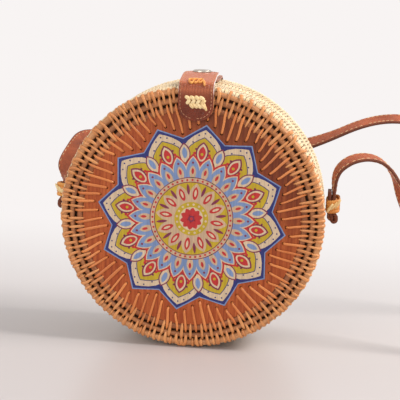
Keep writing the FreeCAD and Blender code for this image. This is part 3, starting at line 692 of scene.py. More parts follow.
# %% [markdown]
# ## The woven walls
# Both baskets are coiled: a straw rope goes round and round, and strands of straw wrap it and sew each
# round to the one before. One strand is a grid that is bowed over the rope, half round across and
# narrower at its ends. On the slopes of each round, small holes stay open between the strands; the
# points there carry painted shade, which paints the holes dark. A bump pattern would be quicker, but it
# looks flat at the outline, so the strands are modelled.

# %% One woven strand
WEAVE_COUNT = 224
WEAVE_SLANT = 0.1
COIL_GROOVE = 0.9 * MM
STRAND_HEIGHT = 0.9 * MM
WEAVE_PROUD = 0.1 * MM
HOLE_PLACE = 0.6


def new_weave_strand(width, length):
    deselect()
    bpy.ops.mesh.primitive_grid_add(x_subdivisions=6, y_subdivisions=6, size=2.0)
    shape = named("weave_strand")
    across, along = points_of(shape).T[:2]
    swing = across * pi / 2
    taper = 1 - 0.3 * along ** 2
    x = np.sin(swing) * taper * width / 2 + along * length / 2 * WEAVE_SLANT
    z = (np.cos(swing) - 1) * STRAND_HEIGHT - along ** 2 * COIL_GROOVE
    set_points(shape, np.stack([x, along * length / 2, z], axis=1))
    # Painted shade: the strand's sides on the slopes of the round, where the holes open, are painted dark.
    slope = np.clip(1.7 - 4 * np.abs(np.abs(along) - HOLE_PLACE), 0, 1)
    set_values(shape, "hollow", np.clip(np.abs(across) * 2.6 - 0.4, 0, 1) * slope)
    return shape


# %% Turned pieces
def spun(name, profile, finish, steps=144, centre=MIDDLE, axis=DEPTH, sharp=40):
    """A profile of radius and place along the axis, in millimetres, turned about that axis."""
    points = [centre + (np.array([radius, 0, 0]) + axis * place) * MM for radius, place in profile]
    open_ends = profile[0][0] == 0 and profile[-1][0] == 0
    edges = [(index, (index + 1) % len(points)) for index in range(len(points) - open_ends)]
    piece = new_mesh(name, points, edges=edges)
    with editing(piece):
        bpy.ops.mesh.spin(steps=steps, angle=2 * pi, center=tuple(centre), axis=tuple(axis))
        bpy.ops.mesh.select_all(action="SELECT")
        bpy.ops.mesh.remove_doubles(threshold=0.005 * MM)
        bpy.ops.mesh.normals_make_consistent(inside=False)
    smooth(piece, sharp)
    coat(piece, finish)
    return piece


def polar(piece):
    """The angle, radius and depth of each point about the bag's middle axis."""
    x, depth, z = (points_of(piece) - MIDDLE).T
    return np.arctan2(z, x), np.hypot(x, z), depth


def round_points(angle, radius, depth):
    """Points in metres, from an angle, a radius and a depth, the last two in millimetres."""
    return MIDDLE + np.stack([radius * np.cos(angle), depth, radius * np.sin(angle)], axis=1) * MM


def fibre_map(piece):
    """UV and tint for a turned piece, so that the fibre runs round it."""
    angle, radius, depth = polar(piece)
    set_uv(piece, np.stack([(radius + depth) / MM, angle * radius / MM], axis=1))
    set_values(piece, "tint", 0.5 + 0.5 * np.sin(angle * 7 + radius * 900))
    return piece


# %% Woven walls
WALL_ROUNDS = 3
WALL_LOW, WALL_HIGH = 4.4, 35.8
CORE_INSIDE, CORE_OUTSIDE = 96.6, 98.5
PLACE_STRAY, LIFT_STRAY, TURN_STRAY = 0.06, 0.05, 0.03
round_height = (WALL_HIGH - WALL_LOW) / WALL_ROUNDS * MM
strand_pitch = 2 * pi * SHELL / WEAVE_COUNT


def woven_wall(name, side, node_name, body, core_profile, seed):
    """A wall of one half; side is -1 at the front and 1 at the back."""
    noise = np.random.default_rng(seed)
    moves = []
    for row in range(WALL_ROUNDS):
        depth = side * (WALL_LOW * MM + round_height * (row + 0.5))
        for count in range(WEAVE_COUNT):
            angle = 2 * pi * (count + row / 2 + noise.normal(0, PLACE_STRAY)) / WEAVE_COUNT
            crest = SHELL + WEAVE_PROUD + noise.normal(0, LIFT_STRAY) * MM
            moves.append(on_wall(angle, depth, crest, noise.normal(0, TURN_STRAY)))
    cover = repeat(new_weave_strand(strand_pitch, round_height), name, moves, seed, "straw")
    # The core under the strands is painted dark, as the shade in the gaps between them.
    core = spun(name + "_core", [(radius, side * depth) for radius, depth in core_profile], "shade_backing")
    settle(join(name, cover, fibre_map(core)), body, "straw_weave", node_name)


rear_core = [(CORE_INSIDE, WALL_LOW), (CORE_OUTSIDE, WALL_LOW), (CORE_OUTSIDE, WALL_HIGH),
             (CORE_INSIDE, WALL_HIGH)]
# At the front the core runs on as a dark ring behind the border's canes: painted shade for their gaps.
front_core = [*rear_core[:2], (CORE_OUTSIDE, 36.6), (82.8, 36.6), (82.8, 36.2), (CORE_INSIDE, 36.2)]
woven_wall("front_weave", -1, "front_wall", "front_half", front_core, 21)
woven_wall("rear_weave", 1, "rear_wall", "rear_half", rear_core, 22)

# %% [markdown]
# ## Wrapped rims
# The lips at the seam, the back edge and the edge behind the front border are ropes wrapped with straw.
# One wrap is a torus that is squeezed to the rope's section and widened along it, and the wraps stand
# side by side round the bag. Single wraps catch the light as the real ones do, which a texture would not.

# %% Wrapped rims
WRAP_BAND = 0.2
WRAP_STRAY = 0.04


def new_wrap(height, thickness, width):
    deselect()
    bpy.ops.mesh.primitive_torus_add(major_segments=12, minor_segments=6, major_radius=1.0 - WRAP_BAND,
                                     minor_radius=WRAP_BAND, rotation=(0, pi / 2, 0))
    shape = named("wrap")
    points = points_of(shape) * [width / (2 * WRAP_BAND), height / 2, thickness / 2]
    points[:, 0] += points[:, 1] * WEAVE_SLANT
    set_points(shape, points)
    return shape


def wrapped_rim(name, inside, outside, low, high, body, seed, *nodes):
    noise = np.random.default_rng(seed)
    radius = (inside + outside) / 2 * MM
    depth = (low + high) / 2 * MM
    width = 2 * pi * radius / WEAVE_COUNT
    shape = new_wrap(abs(high - low) * MM, (outside - inside) * MM, width * 1.02)
    angles = 2 * pi * (np.arange(WEAVE_COUNT) + noise.normal(0, WRAP_STRAY, WEAVE_COUNT)) / WEAVE_COUNT
    moves = [on_wall(angle, depth, radius + noise.normal(0, WRAP_STRAY) * MM) for angle in angles]
    settle(repeat(shape, name, moves, seed, "straw"), body, "hoop_cane", *nodes)


wrapped_rim("front_lip", 95.2, 100.0, -4.3, -0.2, "front_half", 31, "front_lip_hoop")
wrapped_rim("rear_lip", 95.2, 100.0, 0.2, 4.3, "rear_half", 32, "rear_lip_hoop")
wrapped_rim("rear_rim", 94.0, 100.2, 35.8, 40.0, "rear_half", 33, "rear_corner_hoop")
wrapped_rim("front_rim", 95.2, 100.0, -38.2, -34.8, "front_half", 34)

# %% [markdown]
# ## The back panel
# The back is coiled too, as a flat round mat. The same strand lies in rings on a disc painted dark as the
# shade between the strands, with fewer strands in each ring towards the middle, where the rope begins.
# The real rope is a spiral; rings look the same at this pitch and are easier to fill evenly.

# %% Coiled back
PANEL_RADIUS = 93.5
PANEL_CREST = 39.65 * MM
PANEL_BASE, PANEL_TOP = 36.6, 38.1
PANEL_ROUNDS = 10
RING_SHIFT, RING_STRAY = 0.37, 0.05
coil_pitch = PANEL_RADIUS * MM / PANEL_ROUNDS
noise = np.random.default_rng(41)
coil_moves = []
for ring in range(PANEL_ROUNDS):
    ring_radius = PANEL_RADIUS * MM - coil_pitch * (ring + 0.5)
    ring_count = max(10, round(2 * pi * ring_radius / strand_pitch))
    for count in range(ring_count):
        angle = 2 * pi * (count + ring * RING_SHIFT + noise.normal(0, RING_STRAY)) / ring_count
        coil_moves.append(on_face(angle, ring_radius, PANEL_CREST, 1, noise.normal(0, TURN_STRAY)))
back_cover = repeat(new_weave_strand(strand_pitch * 1.03, coil_pitch), "back_coil", coil_moves, 42, "straw")
back_core = spun("back_core", [(0, PANEL_BASE), (PANEL_RADIUS, PANEL_BASE), (PANEL_RADIUS, PANEL_TOP),
                               (0, PANEL_TOP)], "shade_backing")
settle(join("back_coil", back_cover, fibre_map(back_core)), "rear_half", "straw_weave", "rear_panel")

# %% [markdown]
# ## The cane hoops of the border
# Three canes circle the wooden disc. Each is a torus whose section is squeezed to the cane's width and
# depth. The two inner canes are split and flatter, so `power` pushes their corners out. The strips that
# cross the canes pull them in a little, and at the top of the bag the whole border is laced lower and
# broader than at the bottom. A bevelled circle would give a ring too, but in a torus every point of the
# section can be shaped.

# %% Cane hoops
STRIPS = 72
STRIP_PITCH = 2 * pi / STRIPS
STAR_TIP = radians(83.0)
STRIP_LEAN = radians(1.7)
CORNER_RADIUS = 94.0
UPPER_RIGHT = radians(65)
# Radii, and how much lower the border is laced there.
TOP_DROP = ([75, 82, 88, CORNER_RADIUS, 97], [0, 1.9, 1.9, 0.8, 0])
RIGHT_DROP = ([CORNER_RADIUS, 100], [0, 2.4])
STRIP_PINCH = 0.045


def laced_down(radius, angle):
    """A border radius in millimetres, brought lower over the top of the bag."""
    top = np.clip(1.5 * np.sin(angle), 0, 1) ** 1.5
    right = np.clip(np.cos(1.7 * np.clip(angle - UPPER_RIGHT, -1, 1)), 0, 1)
    radius = radius - right * np.interp(radius, *RIGHT_DROP)
    return radius - top * np.interp(radius, *TOP_DROP)


def cane_hoop(name, inside, outside, back, front, power, swell_turn, finish, node_name):
    middle = (inside + outside) / 2
    half = (outside - inside) / 2
    deselect()
    bpy.ops.mesh.primitive_torus_add(major_segments=STRIPS * 4, minor_segments=12, major_radius=middle,
                                     minor_radius=half, rotation=(pi / 2, 0, 0))
    hoop = named(name)
    x, y, z = points_of(hoop).T
    angle = np.arctan2(z, x)
    across = (np.hypot(x, z) - middle) / half
    lift = y / half
    square = (np.abs(across) ** power + np.abs(lift) ** power) ** (-1 / power)
    swell = square * (1.0 - STRIP_PINCH * (1 + np.cos((angle - swell_turn) * STRIPS)))
    radius = laced_down(middle + across * half * swell, angle)
    depth = lift * (front - back) / 2 * swell - (front + back) / 2
    set_points(hoop, round_points(angle, radius, depth))
    smooth(hoop, 60)
    fibre_map(hoop)
    # Painted shade on each cane's flanks; the corner rod's outer flank, lit from above, stays light.
    shaded = np.clip((np.abs(across) - 0.5) * 1.7, 0, 1)
    set_values(hoop, "hollow", np.where((across > 0) & (outside > CORNER_RADIUS), 0, shaded))
    coat(hoop, finish)
    settle(hoop, "front_half", "hoop_cane", node_name)


corner_turn = STAR_TIP + STRIP_LEAN
middle_turn = corner_turn - STRIP_PITCH / 2
cane_hoop("corner_rod", 94.2, 99.4, 35.0, 40.1, 2.2, corner_turn, "corner_cane", "front_corner_hoop")
cane_hoop("middle_rod", 88.8, 93.0, 36.4, 39.95, 2.5, middle_turn, "middle_cane", "front_middle_hoop")
cane_hoop("inner_rod", 82.5, 87.5, 36.4, 40.0, 2.5, corner_turn, "inner_cane", "front_inner_hoop")

# %% [markdown]
# ## Cane strips
# Flat strips of cane lace the border. The outer ones come out of the wall, turn over the corner rod and
# end on the middle rod, mostly with a short turn round the corner rod between them. The next ones go over
# the middle rod. The innermost are narrow, run out over the wood and dive into the lacing holes. One
# strip is a long cylinder, cut across so that it can bend. Every copy follows its own softened path with
# a small jitter, as in handwork, and thins out where it dives between the canes. Bevelled curves would be
# round; a mesh strip stays flat and can change its width.

# %% One cane strip
STRIP_GRAIN = (3.0, 12.0)


def new_strip(cuts):
    deselect()
    bpy.ops.mesh.primitive_cylinder_add(vertices=8, radius=0.5, depth=1.0, location=(0, 0.5, 0.5),
                                        rotation=(pi / 2, 0, 0))
    shape = named("strip")
    with editing(shape, "DESELECT") as mesh:
        for edge in mesh.edges:
            edge.select_set(abs(edge.verts[0].co.y - edge.verts[1].co.y) > 0.5)
        bpy.ops.mesh.subdivide(number_cuts=cuts)
    return shape


def soften(rows):
    """Cuts the corners of a path three times, keeping its ends."""
    rows = np.array(rows, float)
    for sweep in range(3):
        near = rows[:-1] * 0.75 + rows[1:] * 0.25
        far = rows[:-1] * 0.25 + rows[1:] * 0.75
        pairs = np.stack([near, far], axis=1).reshape(-1, rows.shape[1])
        rows = np.concatenate([rows[:1], pairs, rows[-1:]])
    return rows


def along_path(path, thickness):
    """A move along rows of radius, depth, angle and width: in front of the bag, outside of the path."""
    rows = soften(path)
    places = walked(rows[:, :2])
    places = places / places[-1]
    slope = unit(np.gradient(rows[:, :2], axis=0))

    def move(points):
        radius, depth, angle, width = read_rows(rows, places, points[:, 1])
        run, dip = read_rows(slope, places, points[:, 1])
        lift = points[:, 2] * thickness
        radius = laced_down(radius + lift * dip, angle)
        depth = depth - lift * run
        angle = angle + points[:, 0] * width / radius
        return round_points(angle, radius, -depth)
    return move


def strip_set(name, paths, thickness, finish, node_name, seed, cuts):
    moves = [along_path(path, thickness) for path in paths]
    strips = repeat(new_strip(cuts), name, moves, seed, finish, STRIP_GRAIN)
    settle(strips, "front_half", "strip_cane", node_name)


# %% Border strips
# A row: radius, depth, share of the way from the first angle to the second, share of the width.
CORNER_ROWS = [(98.4, 33.4, 1, 1), (99.3, 35.0, 1, 1.2), (99.6, 37.2, 1, 1.2), (98.9, 39.3, 1, 1.2),
               (96.6, 40.1, 0, 1), (93.6, 39.9, 0, 1), (91.0, 39.3, 0, 0.7), (90.4, 38.5, 0, 0.5)]
TURN_ROWS = [(98.4, 33.6, 0, 1), (99.2, 35.0, 0, 1), (99.5, 37.2, 0, 1), (98.8, 39.2, 0, 1),
             (96.6, 40.05, 0, 1), (94.9, 39.4, 0, 0.8), (94.2, 38.0, 0, 0.6)]
MIDDLE_ROWS = [(93.9, 37.6, 0, 0.6), (93.2, 39.3, 0, 0.8), (91.4, 39.7, 0, 1), (88.4, 39.55, 0, 1),
               (85.2, 39.8, 0, 0.9), (83.2, 39.7, 0, 0.7), (82.4, 38.4, 0, 0.5)]
BARE_TOP = (radians(28), radians(84))
CORNER_WIDTH, TURN_WIDTH, MIDDLE_WIDTH, DISC_WIDTH = 2.2, 1.9, 2.1, 2.0
STRIP_STRAY, WIDTH_STRAY = 0.007, 0.08
OUTER_SHIFT = 0.008


def laid(rows, wide, first, second=0.0):
    return [(radius, depth, first + swung * (second - first), wide * share)
            for radius, depth, swung, share in rows]


noise = np.random.default_rng(51)
corner_paths = []
middle_paths = []
for turn in range(STRIPS):
    angle = corner_turn + STRIP_PITCH * turn + noise.normal(0, STRIP_STRAY)
    outer = angle + noise.normal(0, 0.01) + OUTER_SHIFT
    corner_paths.append(laid(CORNER_ROWS, CORNER_WIDTH * (1 + noise.normal(0, WIDTH_STRAY)), angle, outer))
    between = angle + STRIP_PITCH / 2 + noise.normal(0, 0.008)
    if not BARE_TOP[0] < between % (2 * pi) < BARE_TOP[1]:
        corner_paths.append(laid(TURN_ROWS, TURN_WIDTH * (1 + noise.normal(0, 0.1)), between))
    angle = middle_turn + STRIP_PITCH * turn + noise.normal(0, STRIP_STRAY)
    middle_paths.append(laid(MIDDLE_ROWS, MIDDLE_WIDTH * (1 + noise.normal(0, WIDTH_STRAY)), angle))
strip_set("corner_strips", corner_paths, 1.0, "border_cane", "corner_lashings", 52, 11)
strip_set("middle_strips", middle_paths, 1.05, "border_cane", "middle_lashings", 53, 9)

# %% Disc strips
HOLE_RADII = (75.0, 71.5, 68.0, 64.5, 68.0, 71.5)
INNER_CREST = 85.4
disc_paths = []
for turn in range(STRIPS):
    hole_angle = STAR_TIP + STRIP_PITCH * turn
    hole = HOLE_RADII[turn % len(HOLE_RADII)]
    head = hole_angle + STRIP_LEAN + noise.normal(0, 0.006)
    rows = [(88.4, 37.6, 0, 0.6), (87.7, 39.3, 0, 0.8), (INNER_CREST, 39.7, 0, 1),
            ((INNER_CREST + hole) / 2, 39.35, 0.5, 0.95), (hole + 1.8, 39.25, 1, 0.85),
            (hole + 0.6, 39.1, 1, 0.8), (hole + 0.3, 37.6, 1, 0.6)]
    disc_paths.append(laid(rows, DISC_WIDTH * (1 + noise.normal(0, 0.07)), head, hole_angle))
strip_set("disc_strips", disc_paths, 1.0, "lace_cane", "disc_lashings", 54, 13)

# %% [markdown]
# ## The wooden disc
# The disc's solid already has its true shape, with a round hole for each strip, so it only gets a finish:
# stained wood with fine upright grain, a satin coat, slightly darker zones, and painted shade that
# darkens the wood towards the upper right, where the border shades it.

# %% Wood
tree, surface = new_material("stained_wood", Specular_IOR_Level=0.28, Coat_Weight=0.08, Coat_Roughness=0.3)
place = object_place(tree)
stretch = node(tree, "Mapping", {"Vector": place, "Scale": (620.0, 60.0, 26.0)})
grain = clouds(tree, stretch, 1.0, 5.0, 0.6)
mixed = maths(tree, "MULTIPLY_ADD", clouds(tree, place, 22.0, 3.0), 0.35, grain)
wood_tone = ramp(tree, mixed, (0.38, (124, 48, 18)), (0.62, (162, 72, 28)), (0.86, (188, 96, 44)))
# Painted shade: the wood darkens towards the upper right, where the border's shadow falls.
climb = node(tree, "VectorMath", {0: place, 1: (0.6, 0.0, 0.8)}, "Value", operation="DOT_PRODUCT")
upper_right_shade = spread(tree, climb, 0.105, 0.152, 1.0, 0.45)
dress(tree, surface, mix(tree, 1.0, wood_tone, upper_right_shade, "MULTIPLY"),
      spread(tree, grain, 0.0, 1.0, 0.32, 0.55), grain, 0.12)
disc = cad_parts["front_disc"]
disc.data.materials.clear()
coat(disc, "stained_wood")
print("disc finished")

# %% [markdown]
# ## The painted rosette
# A twelve-pointed star of paint fills the middle of the disc. It is laid up in thin layers, as a screen
# print is: each motif is a disc of paint whose outline is drawn out into a petal, copied round the
# middle. The layers lie a twentieth of a millimetre above each other, and every second copy is sunk a
# little, so that copies which overlap don't fight for the same plane. A picture could carry the print
# too, but plates keep sharp edges from near by.

# %% Paints
paint, given, out = new_group("print_paint", Paint=WHITE)
stretch = node(paint, "Mapping", {"Vector": object_place(paint), "Scale": (900.0, 60.0, 60.0)})
speck = clouds(paint, stretch, 1.0, 4.0)
worn = mix(paint, 1.0, given["Paint"], spread(paint, speck, 0.35, 0.7, 0.82, 1.06), "MULTIPLY")
put_out(paint, out, worn, spread(paint, speck, 0.0, 1.0, 0.35, 0.6), speck)
for name, tone in (("sky", (124, 146, 188)), ("navy", (38, 44, 112)), ("cream", (218, 192, 160)),
                   ("olive", (194, 164, 34)), ("red", (192, 44, 44)), ("plum", (126, 42, 72)),
                   ("sand", (204, 172, 140))):
    group_material("paint_" + name, paint, 0.4, 0.06, Paint=colour(*tone))
print("paints mixed")

# %% Motifs
PAINT_STEP = 0.05
PAINT_SINK = 0.02
FACE_DEPTH = -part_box("front_disc")[0].y / MM
rosette_parts = []


def plate(outline, level):
    """A thin plate of paint: an outline of places out and across, in millimetres, raised to its layer."""
    deselect()
    bpy.ops.mesh.primitive_circle_add(vertices=len(outline), radius=1.0, fill_type="NGON")
    shape = named("motif")
    set_points(shape, [(across * MM, out * MM, 0) for out, across in outline])
    height = PAINT_STEP * (level + 1) * MM
    with editing(shape):
        bpy.ops.mesh.extrude_region_move(TRANSFORM_OT_translate={"value": (0, 0, height)})
        bpy.ops.mesh.select_all(action="SELECT")
        bpy.ops.mesh.normals_make_consistent(inside=False)
    return shape


def motif(tone, outline, level, count=1, start=0.0):
    """The plate copied round the middle; start is a turn in degrees from the star's first point."""
    moves = []
    for turn in range(count):
        angle = STAR_TIP + radians(start) + 2 * pi * turn / count
        moves.append(on_face(angle, 0, (PAINT_SINK * (turn % 2) - FACE_DEPTH) * MM, -1))
    number = len(rosette_parts)
    shape = plate(outline, level)
    rosette_parts.append(repeat(shape, f"motif_{number}", moves, 60 + number, "paint_" + tone))


def petal(inner, outer, half_width, corners=24):
    """Round towards the middle and pointed at its tip."""
    outline = []
    for corner in range(corners):
        swing = 2 * pi * corner / corners
        power = 1.0 + 0.45 * (1 + cos(swing))
        side = copysign(abs(sin(swing)) ** power, sin(swing))
        outline.append(((inner + outer) / 2 + (outer - inner) / 2 * cos(swing), half_width * side))
    return outline


def petals(level, count, start, *stack):
    """Petals of a paint, an inner radius, an outer one and a half width, each a layer above the last."""
    for step, (tone, *sizes) in enumerate(stack):
        motif(tone, petal(*sizes), level + step, count, start)


def dot(out, radius, corners=10):
    swings = [2 * pi * corner / corners for corner in range(corners)]
    return [(out + radius * cos(swing), radius * sin(swing)) for swing in swings]


def star(tip, valley, points=12):
    corners = [(valley if corner % 2 else tip, pi * corner / points) for corner in range(points * 2)]
    return [(radius * cos(swing), radius * sin(swing)) for radius, swing in corners]


# %% Outer rosette
motif("sky", star(71.8, 61.2), 0)
motif("navy", star(70.6, 60.4), 1)
petals(2, 12, 0, ("cream", 28, 67.8, 15.4), ("navy", 30, 62.4, 12.8), ("olive", 31, 61.7, 12.2))
for slant in (-8, -4, 0, 4, 8):
    motif("navy", dot(65.1 - 0.11 * slant ** 2, 0.6), 3, 12, slant)
petals(5, 12, 0, ("plum", 43, 58.8, 4.9), ("cream", 44, 57.4, 3.8), ("red", 45.4, 55.4, 2.6))
motif("olive", dot(49.4, 1.1), 8, 12)
for slant in (-6.4, 6.4):
    motif("red", dot(49.8, 1.1), 5, 12, slant)
    motif("plum", dot(53.0, 0.8), 5, 12, slant * 0.86)
petals(5, 12, 15, ("plum", 42, 57.8, 4.3), ("cream", 43, 56.6, 3.5), ("sky", 46, 54.6, 1.9))

# %% Inner rosette
petals(6, 24, 7.5, ("red", 24, 49.4, 6.7), ("cream", 24, 47.6, 5.6), ("sky", 24, 46.6, 4.9))
motif("plum", dot(42.6, 0.85), 9, 24, 7.5)
petals(9, 24, 7.5, ("sand", 30, 40.6, 2.5), ("red", 34, 38.6, 1.0))
motif("plum", dot(0, 31.6, 72), 9)
motif("sand", dot(0, 31.0, 72), 10)
motif("red", dot(29.5, 0.85), 11, 48)
motif("plum", dot(0, 28.2, 72), 11)
motif("olive", dot(0, 27.6, 72), 12)
petals(13, 12, 0, ("sand", 9, 27.2, 4.6), ("red", 14.6, 24.6, 2.1), ("cream", 17.0, 22.6, 0.9))
petals(14, 12, 15, ("plum", 18.5, 26.8, 1.1))
motif("olive", dot(0, 12.8, 48), 14)
motif("cream", dot(11.0, 0.9), 15, 16)
motif("cream", dot(0, 9.0, 36), 15)
petals(16, 10, 0, ("red", 0.5, 8.6, 2.4))
motif("plum", dot(0, 2.4, 20), 17)
motif("red", dot(0, 1.2, 14), 18)
settle(join("rosette", *rosette_parts), "front_half", "disc_wood")

# %% [markdown]
# ## Linings
# Each half has a cloth lining: a cup that covers the inside of the wall and the back of the panel. The
# cup's profile is spun round the middle axis, and small puckers along its rim show that the cloth is
# gathered there. Cloth simulation could drape it, but this cloth is stretched tight, so a shaped cup is
# enough.

# %% Cotton
tree, surface = new_material("cotton", Specular_IOR_Level=0.2, Sheen_Weight=0.3, Sheen_Roughness=0.5)
place = object_place(tree)
warp, weft = (node(tree, "TexWave", {"Vector": place, "Scale": 420.0, "Distortion": 0.6}, "Fac",
                   bands_direction=direction) for direction in "XZ")
cross = maths(tree, "MULTIPLY", warp, weft)
mixed = maths(tree, "MULTIPLY_ADD", cross, 0.35, clouds(tree, place, 30.0, 4.0))
dress(tree, surface, ramp(tree, mixed, (0.3, (178, 152, 116)), (0.9, (222, 204, 172))),
      spread(tree, cross, 0.0, 1.0, 0.75, 0.95), cross, 0.35, 0.3 * MM)

# %% Lining cups
CUP = [(0, 35.7), (60, 35.7), (92.4, 35.7), (94.3, 34.9), (94.8, 33.0), (94.8, 18.0), (94.8, 2.4),
       (94.5, 1.6), (94.1, 2.4), (94.1, 18.0), (94.1, 32.6), (93.5, 34.2), (92.0, 35.0), (60, 35.0),
       (0, 35.0)]
CUP_SIDE = 90 * MM
PUCKER, PUCKER_REACH = 0.22 * MM, 30 * MM


def lining_cup(name, side, body, node_name):
    cup = spun(name, [(radius, side * depth) for radius, depth in CUP], "cotton", steps=180)
    angle, radius, depth = polar(cup)
    mouth = np.clip(1 - np.abs(depth) / PUCKER_REACH, 0, 1) * (radius > CUP_SIDE)
    pucker = np.abs((np.sin(angle * 37) + 0.6 * np.sin(angle * 61 + 1.0)) * PUCKER * mouth)
    inwards = np.stack([np.cos(angle), np.zeros(len(angle)), np.sin(angle)], axis=1) * pucker[:, None]
    set_points(cup, points_of(cup) - inwards)
    settle(cup, body, "lining_cloth", node_name)


lining_cup("front_cloth", -1, "front_half", "front_lining")
lining_cup("rear_cloth", 1, "rear_half", "rear_lining")

# %% [markdown]
# ## The leather closure
# The closure is one strip of leather that goes up the front, over the corner and on to the snap. A flat
# grid is laid along its path, its ends are rounded, and Solidify and Bevel give it thickness and soft
# edges. Small creases cross the fold. The real strip bends where the flap lifts; here the piece's place is
# only baked into its points, and it is fixed to neither the front half nor the flap. Bending a finished
# plate would squeeze the fold; a grid on a path keeps its width and its stitches even.

# %% Leather along a path
LEATHER = 2.0
TAB_HALF = 13.0
TAB_ROUND = 10.0
FOLD_HEIGHT = 199.5
CREASE_RATE, CREASE_HEIGHT, CREASE_REACH = 2.9, 0.18, 4.5
TAB_FOOT = 175.2


class LeatherPath:
    """A path of depth and height in millimetres; hand is 1 up the front and -1 up the back."""

    def __init__(self, rows, hand):
        self.rows = soften(rows)
        self.hand = hand
        self.places = walked(self.rows)
        self.length = self.places[-1]
        self.slope = unit(np.gradient(self.rows, self.places, axis=0))

    def at(self, along, across, lift):
        """Points in metres at a distance along the path, a distance across it and a lift off its middle."""
        depth, height = read_rows(self.rows, self.places, along)
        run, rise = read_rows(self.slope, self.places, along)
        scale = 1 / np.hypot(run, rise)
        depth = depth - self.hand * rise * scale * lift
        height = height + self.hand * run * scale * lift
        return np.stack([self.hand * across, depth, height], axis=-1) * MM

    def half_width(self, along):
        gap = np.clip(TAB_ROUND - np.minimum(along, self.length - along), 0, TAB_ROUND)
        return TAB_HALF - TAB_ROUND + np.sqrt(TAB_ROUND ** 2 - gap ** 2)

    def where(self, column, value):
        """How far along the path its depth (column 0) or its height (column 1) comes nearest to a value."""
        return self.places[np.argmin(np.abs(self.rows[:, column] - value))]


def bent_leather(name, path, painted_light_share):
    deselect()
    bpy.ops.mesh.primitive_grid_add(x_subdivisions=40, y_subdivisions=64, size=2.0)
    piece = named(name)
    points = points_of(piece)
    along = path.length * (1 - np.cos((points[:, 1] + 1) / 2 * pi)) / 2
    across = points[:, 0] * path.half_width(along)
    past = along - path.where(1, FOLD_HEIGHT)
    ripple = np.cos(across * CREASE_RATE)
    crease = CREASE_HEIGHT * ripple * np.exp(-(past / CREASE_REACH) ** 2)
    set_points(piece, path.at(along, across, crease))
    # Painted light: a highlight just below the fold, and a lighter top from the fold on, as if lit from
    # above.
    fold_highlight = 0.6 * np.exp(-((past + 2.0) / 1.8) ** 2) * (0.7 + 0.3 * ripple)
    fold_highlight = fold_highlight + 0.3 * np.exp(-((past + 3.0) / 6.0) ** 2)
    set_values(piece, "painted_light", np.clip(np.clip((past - 1.0) / 3.0, 0, 1) + fold_highlight, 0, 1) * painted_light_share)
    coat(piece, "closure_hide", "cut_edge")
    apply_modifier(piece, "SOLIDIFY", thickness=LEATHER * MM, offset=0.0, material_offset_rim=1,
                   use_even_offset=True)
    apply_modifier(piece, "BEVEL", width=0.45 * MM, segments=2, limit_method="ANGLE",
                   angle_limit=radians(60))
    smooth(piece, 50)
    return piece


# %% Stitches on leather
STITCH_EDGE = 1.5
TAB_STITCH_STEP = 2.6


def on_leather(path, along, across, lift, turn=0.0):
    """Shape Y runs along the leather, Z off its outer side."""
    def move(points):
        x, y, z = points.T / MM
        flat_x = x * cos(turn) - y * sin(turn)
        flat_y = x * sin(turn) + y * cos(turn)
        return path.at(along + flat_y, across + flat_x, lift + z)
    return move


def leather_stitches(name, path, seed):
    """Thread a little inside the outline: up one side, across the end and down the other."""
    along = np.linspace(STITCH_EDGE, path.length - STITCH_EDGE, 400)
    across = path.half_width(np.linspace(0, path.length, 400)) - STITCH_EDGE
    end = np.linspace(-1, 1, 40)[1:-1] * (TAB_HALF - TAB_ROUND)
    outline = np.stack([np.concatenate([along, np.full(len(end), along[-1]), along[::-1]]),
                        np.concatenate([-across, end, across[::-1]])], axis=1)
    distances = walked(outline)
    moves = []
    for distance in np.arange(TAB_STITCH_STEP, distances[-1], TAB_STITCH_STEP):
        along, across = read_rows(outline, distances, distance)
        ahead, beside = read_rows(outline, distances, distance + 0.5)
        moves.append(on_leather(path, along, across, LEATHER / 2, atan2(across - beside, ahead - along)))
    return repeat(new_stitch(2.1 * MM, 0.6 * MM), name, moves, seed, "thread")


# %% Closure
FRONT_PATH = LeatherPath([(-42.1, TAB_FOOT), (-42.1, 186), (-42.1, 195), (-42.0, 198), (-41.3, 200.3),
                          (-39.8, 201.8), (-37.5, 202.7), (-30, 204), (-20, 205.55), (-12.5, 206.75),
                          (-8, 206.8), (2, 206.8), (11, 206.8)], 1)
REAR_PATH = LeatherPath([(42.1, TAB_FOOT), (42.1, 190), (42.1, 199.6), (41.4, 201.5), (39.5, 202.2),
                         (20, 202.2), (0, 202.2), (-8, 202.2)], -1)
FLAP_BEND = ("clasp_flap", (0, -0.030, 0.2046), (0, -0.022, 0.2046))
closure = bent_leather("closure_leather", FRONT_PATH, 0.7)
closure_thread = leather_stitches("closure_stitching", FRONT_PATH, 71)
settle(closure, "front_half", "leather", "front_tab", "clasp_flap", bend=FLAP_BEND)
settle(closure_thread, "front_half", "leather", bend=FLAP_BEND)
settle(bent_leather("rear_leather", REAR_PATH, 0.1), "rear_half", "leather", "rear_tab")
settle(leather_stitches("rear_stitching", REAR_PATH, 72), "rear_half", "leather")

# %% [markdown]
# ## The press snap
# A domed cap and a socket sit on the flap, and a stud stands on the rear tab below them. Each is a
# profile spun about the snap's upright axis. Nickel is a metal with fine brushed variation. Such metal is
# turned or pressed round, so a spun profile gives its true form.

# %% Nickel and snap
SNAP = np.array([0.0, (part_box("snap_cap")[0].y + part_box("snap_cap")[1].y) / 2, 0.0])
UPRIGHT = np.array([0.0, 0.0, 1.0])
tree, surface = new_material("nickel", Metallic=1.0)
scratch = clouds(tree, object_place(tree), 1500.0, 3.0)
dress(tree, surface, ramp(tree, scratch, (0.3, (168, 158, 146)), (0.7, (206, 198, 188))),
      spread(tree, scratch, 0.0, 1.0, 0.2, 0.38))


def snap_piece(name, profile, body, node_name):
    piece = spun(name, profile, "nickel", steps=40, centre=SNAP, axis=UPRIGHT, sharp=35)
    settle(piece, body, "snap_metal", node_name)


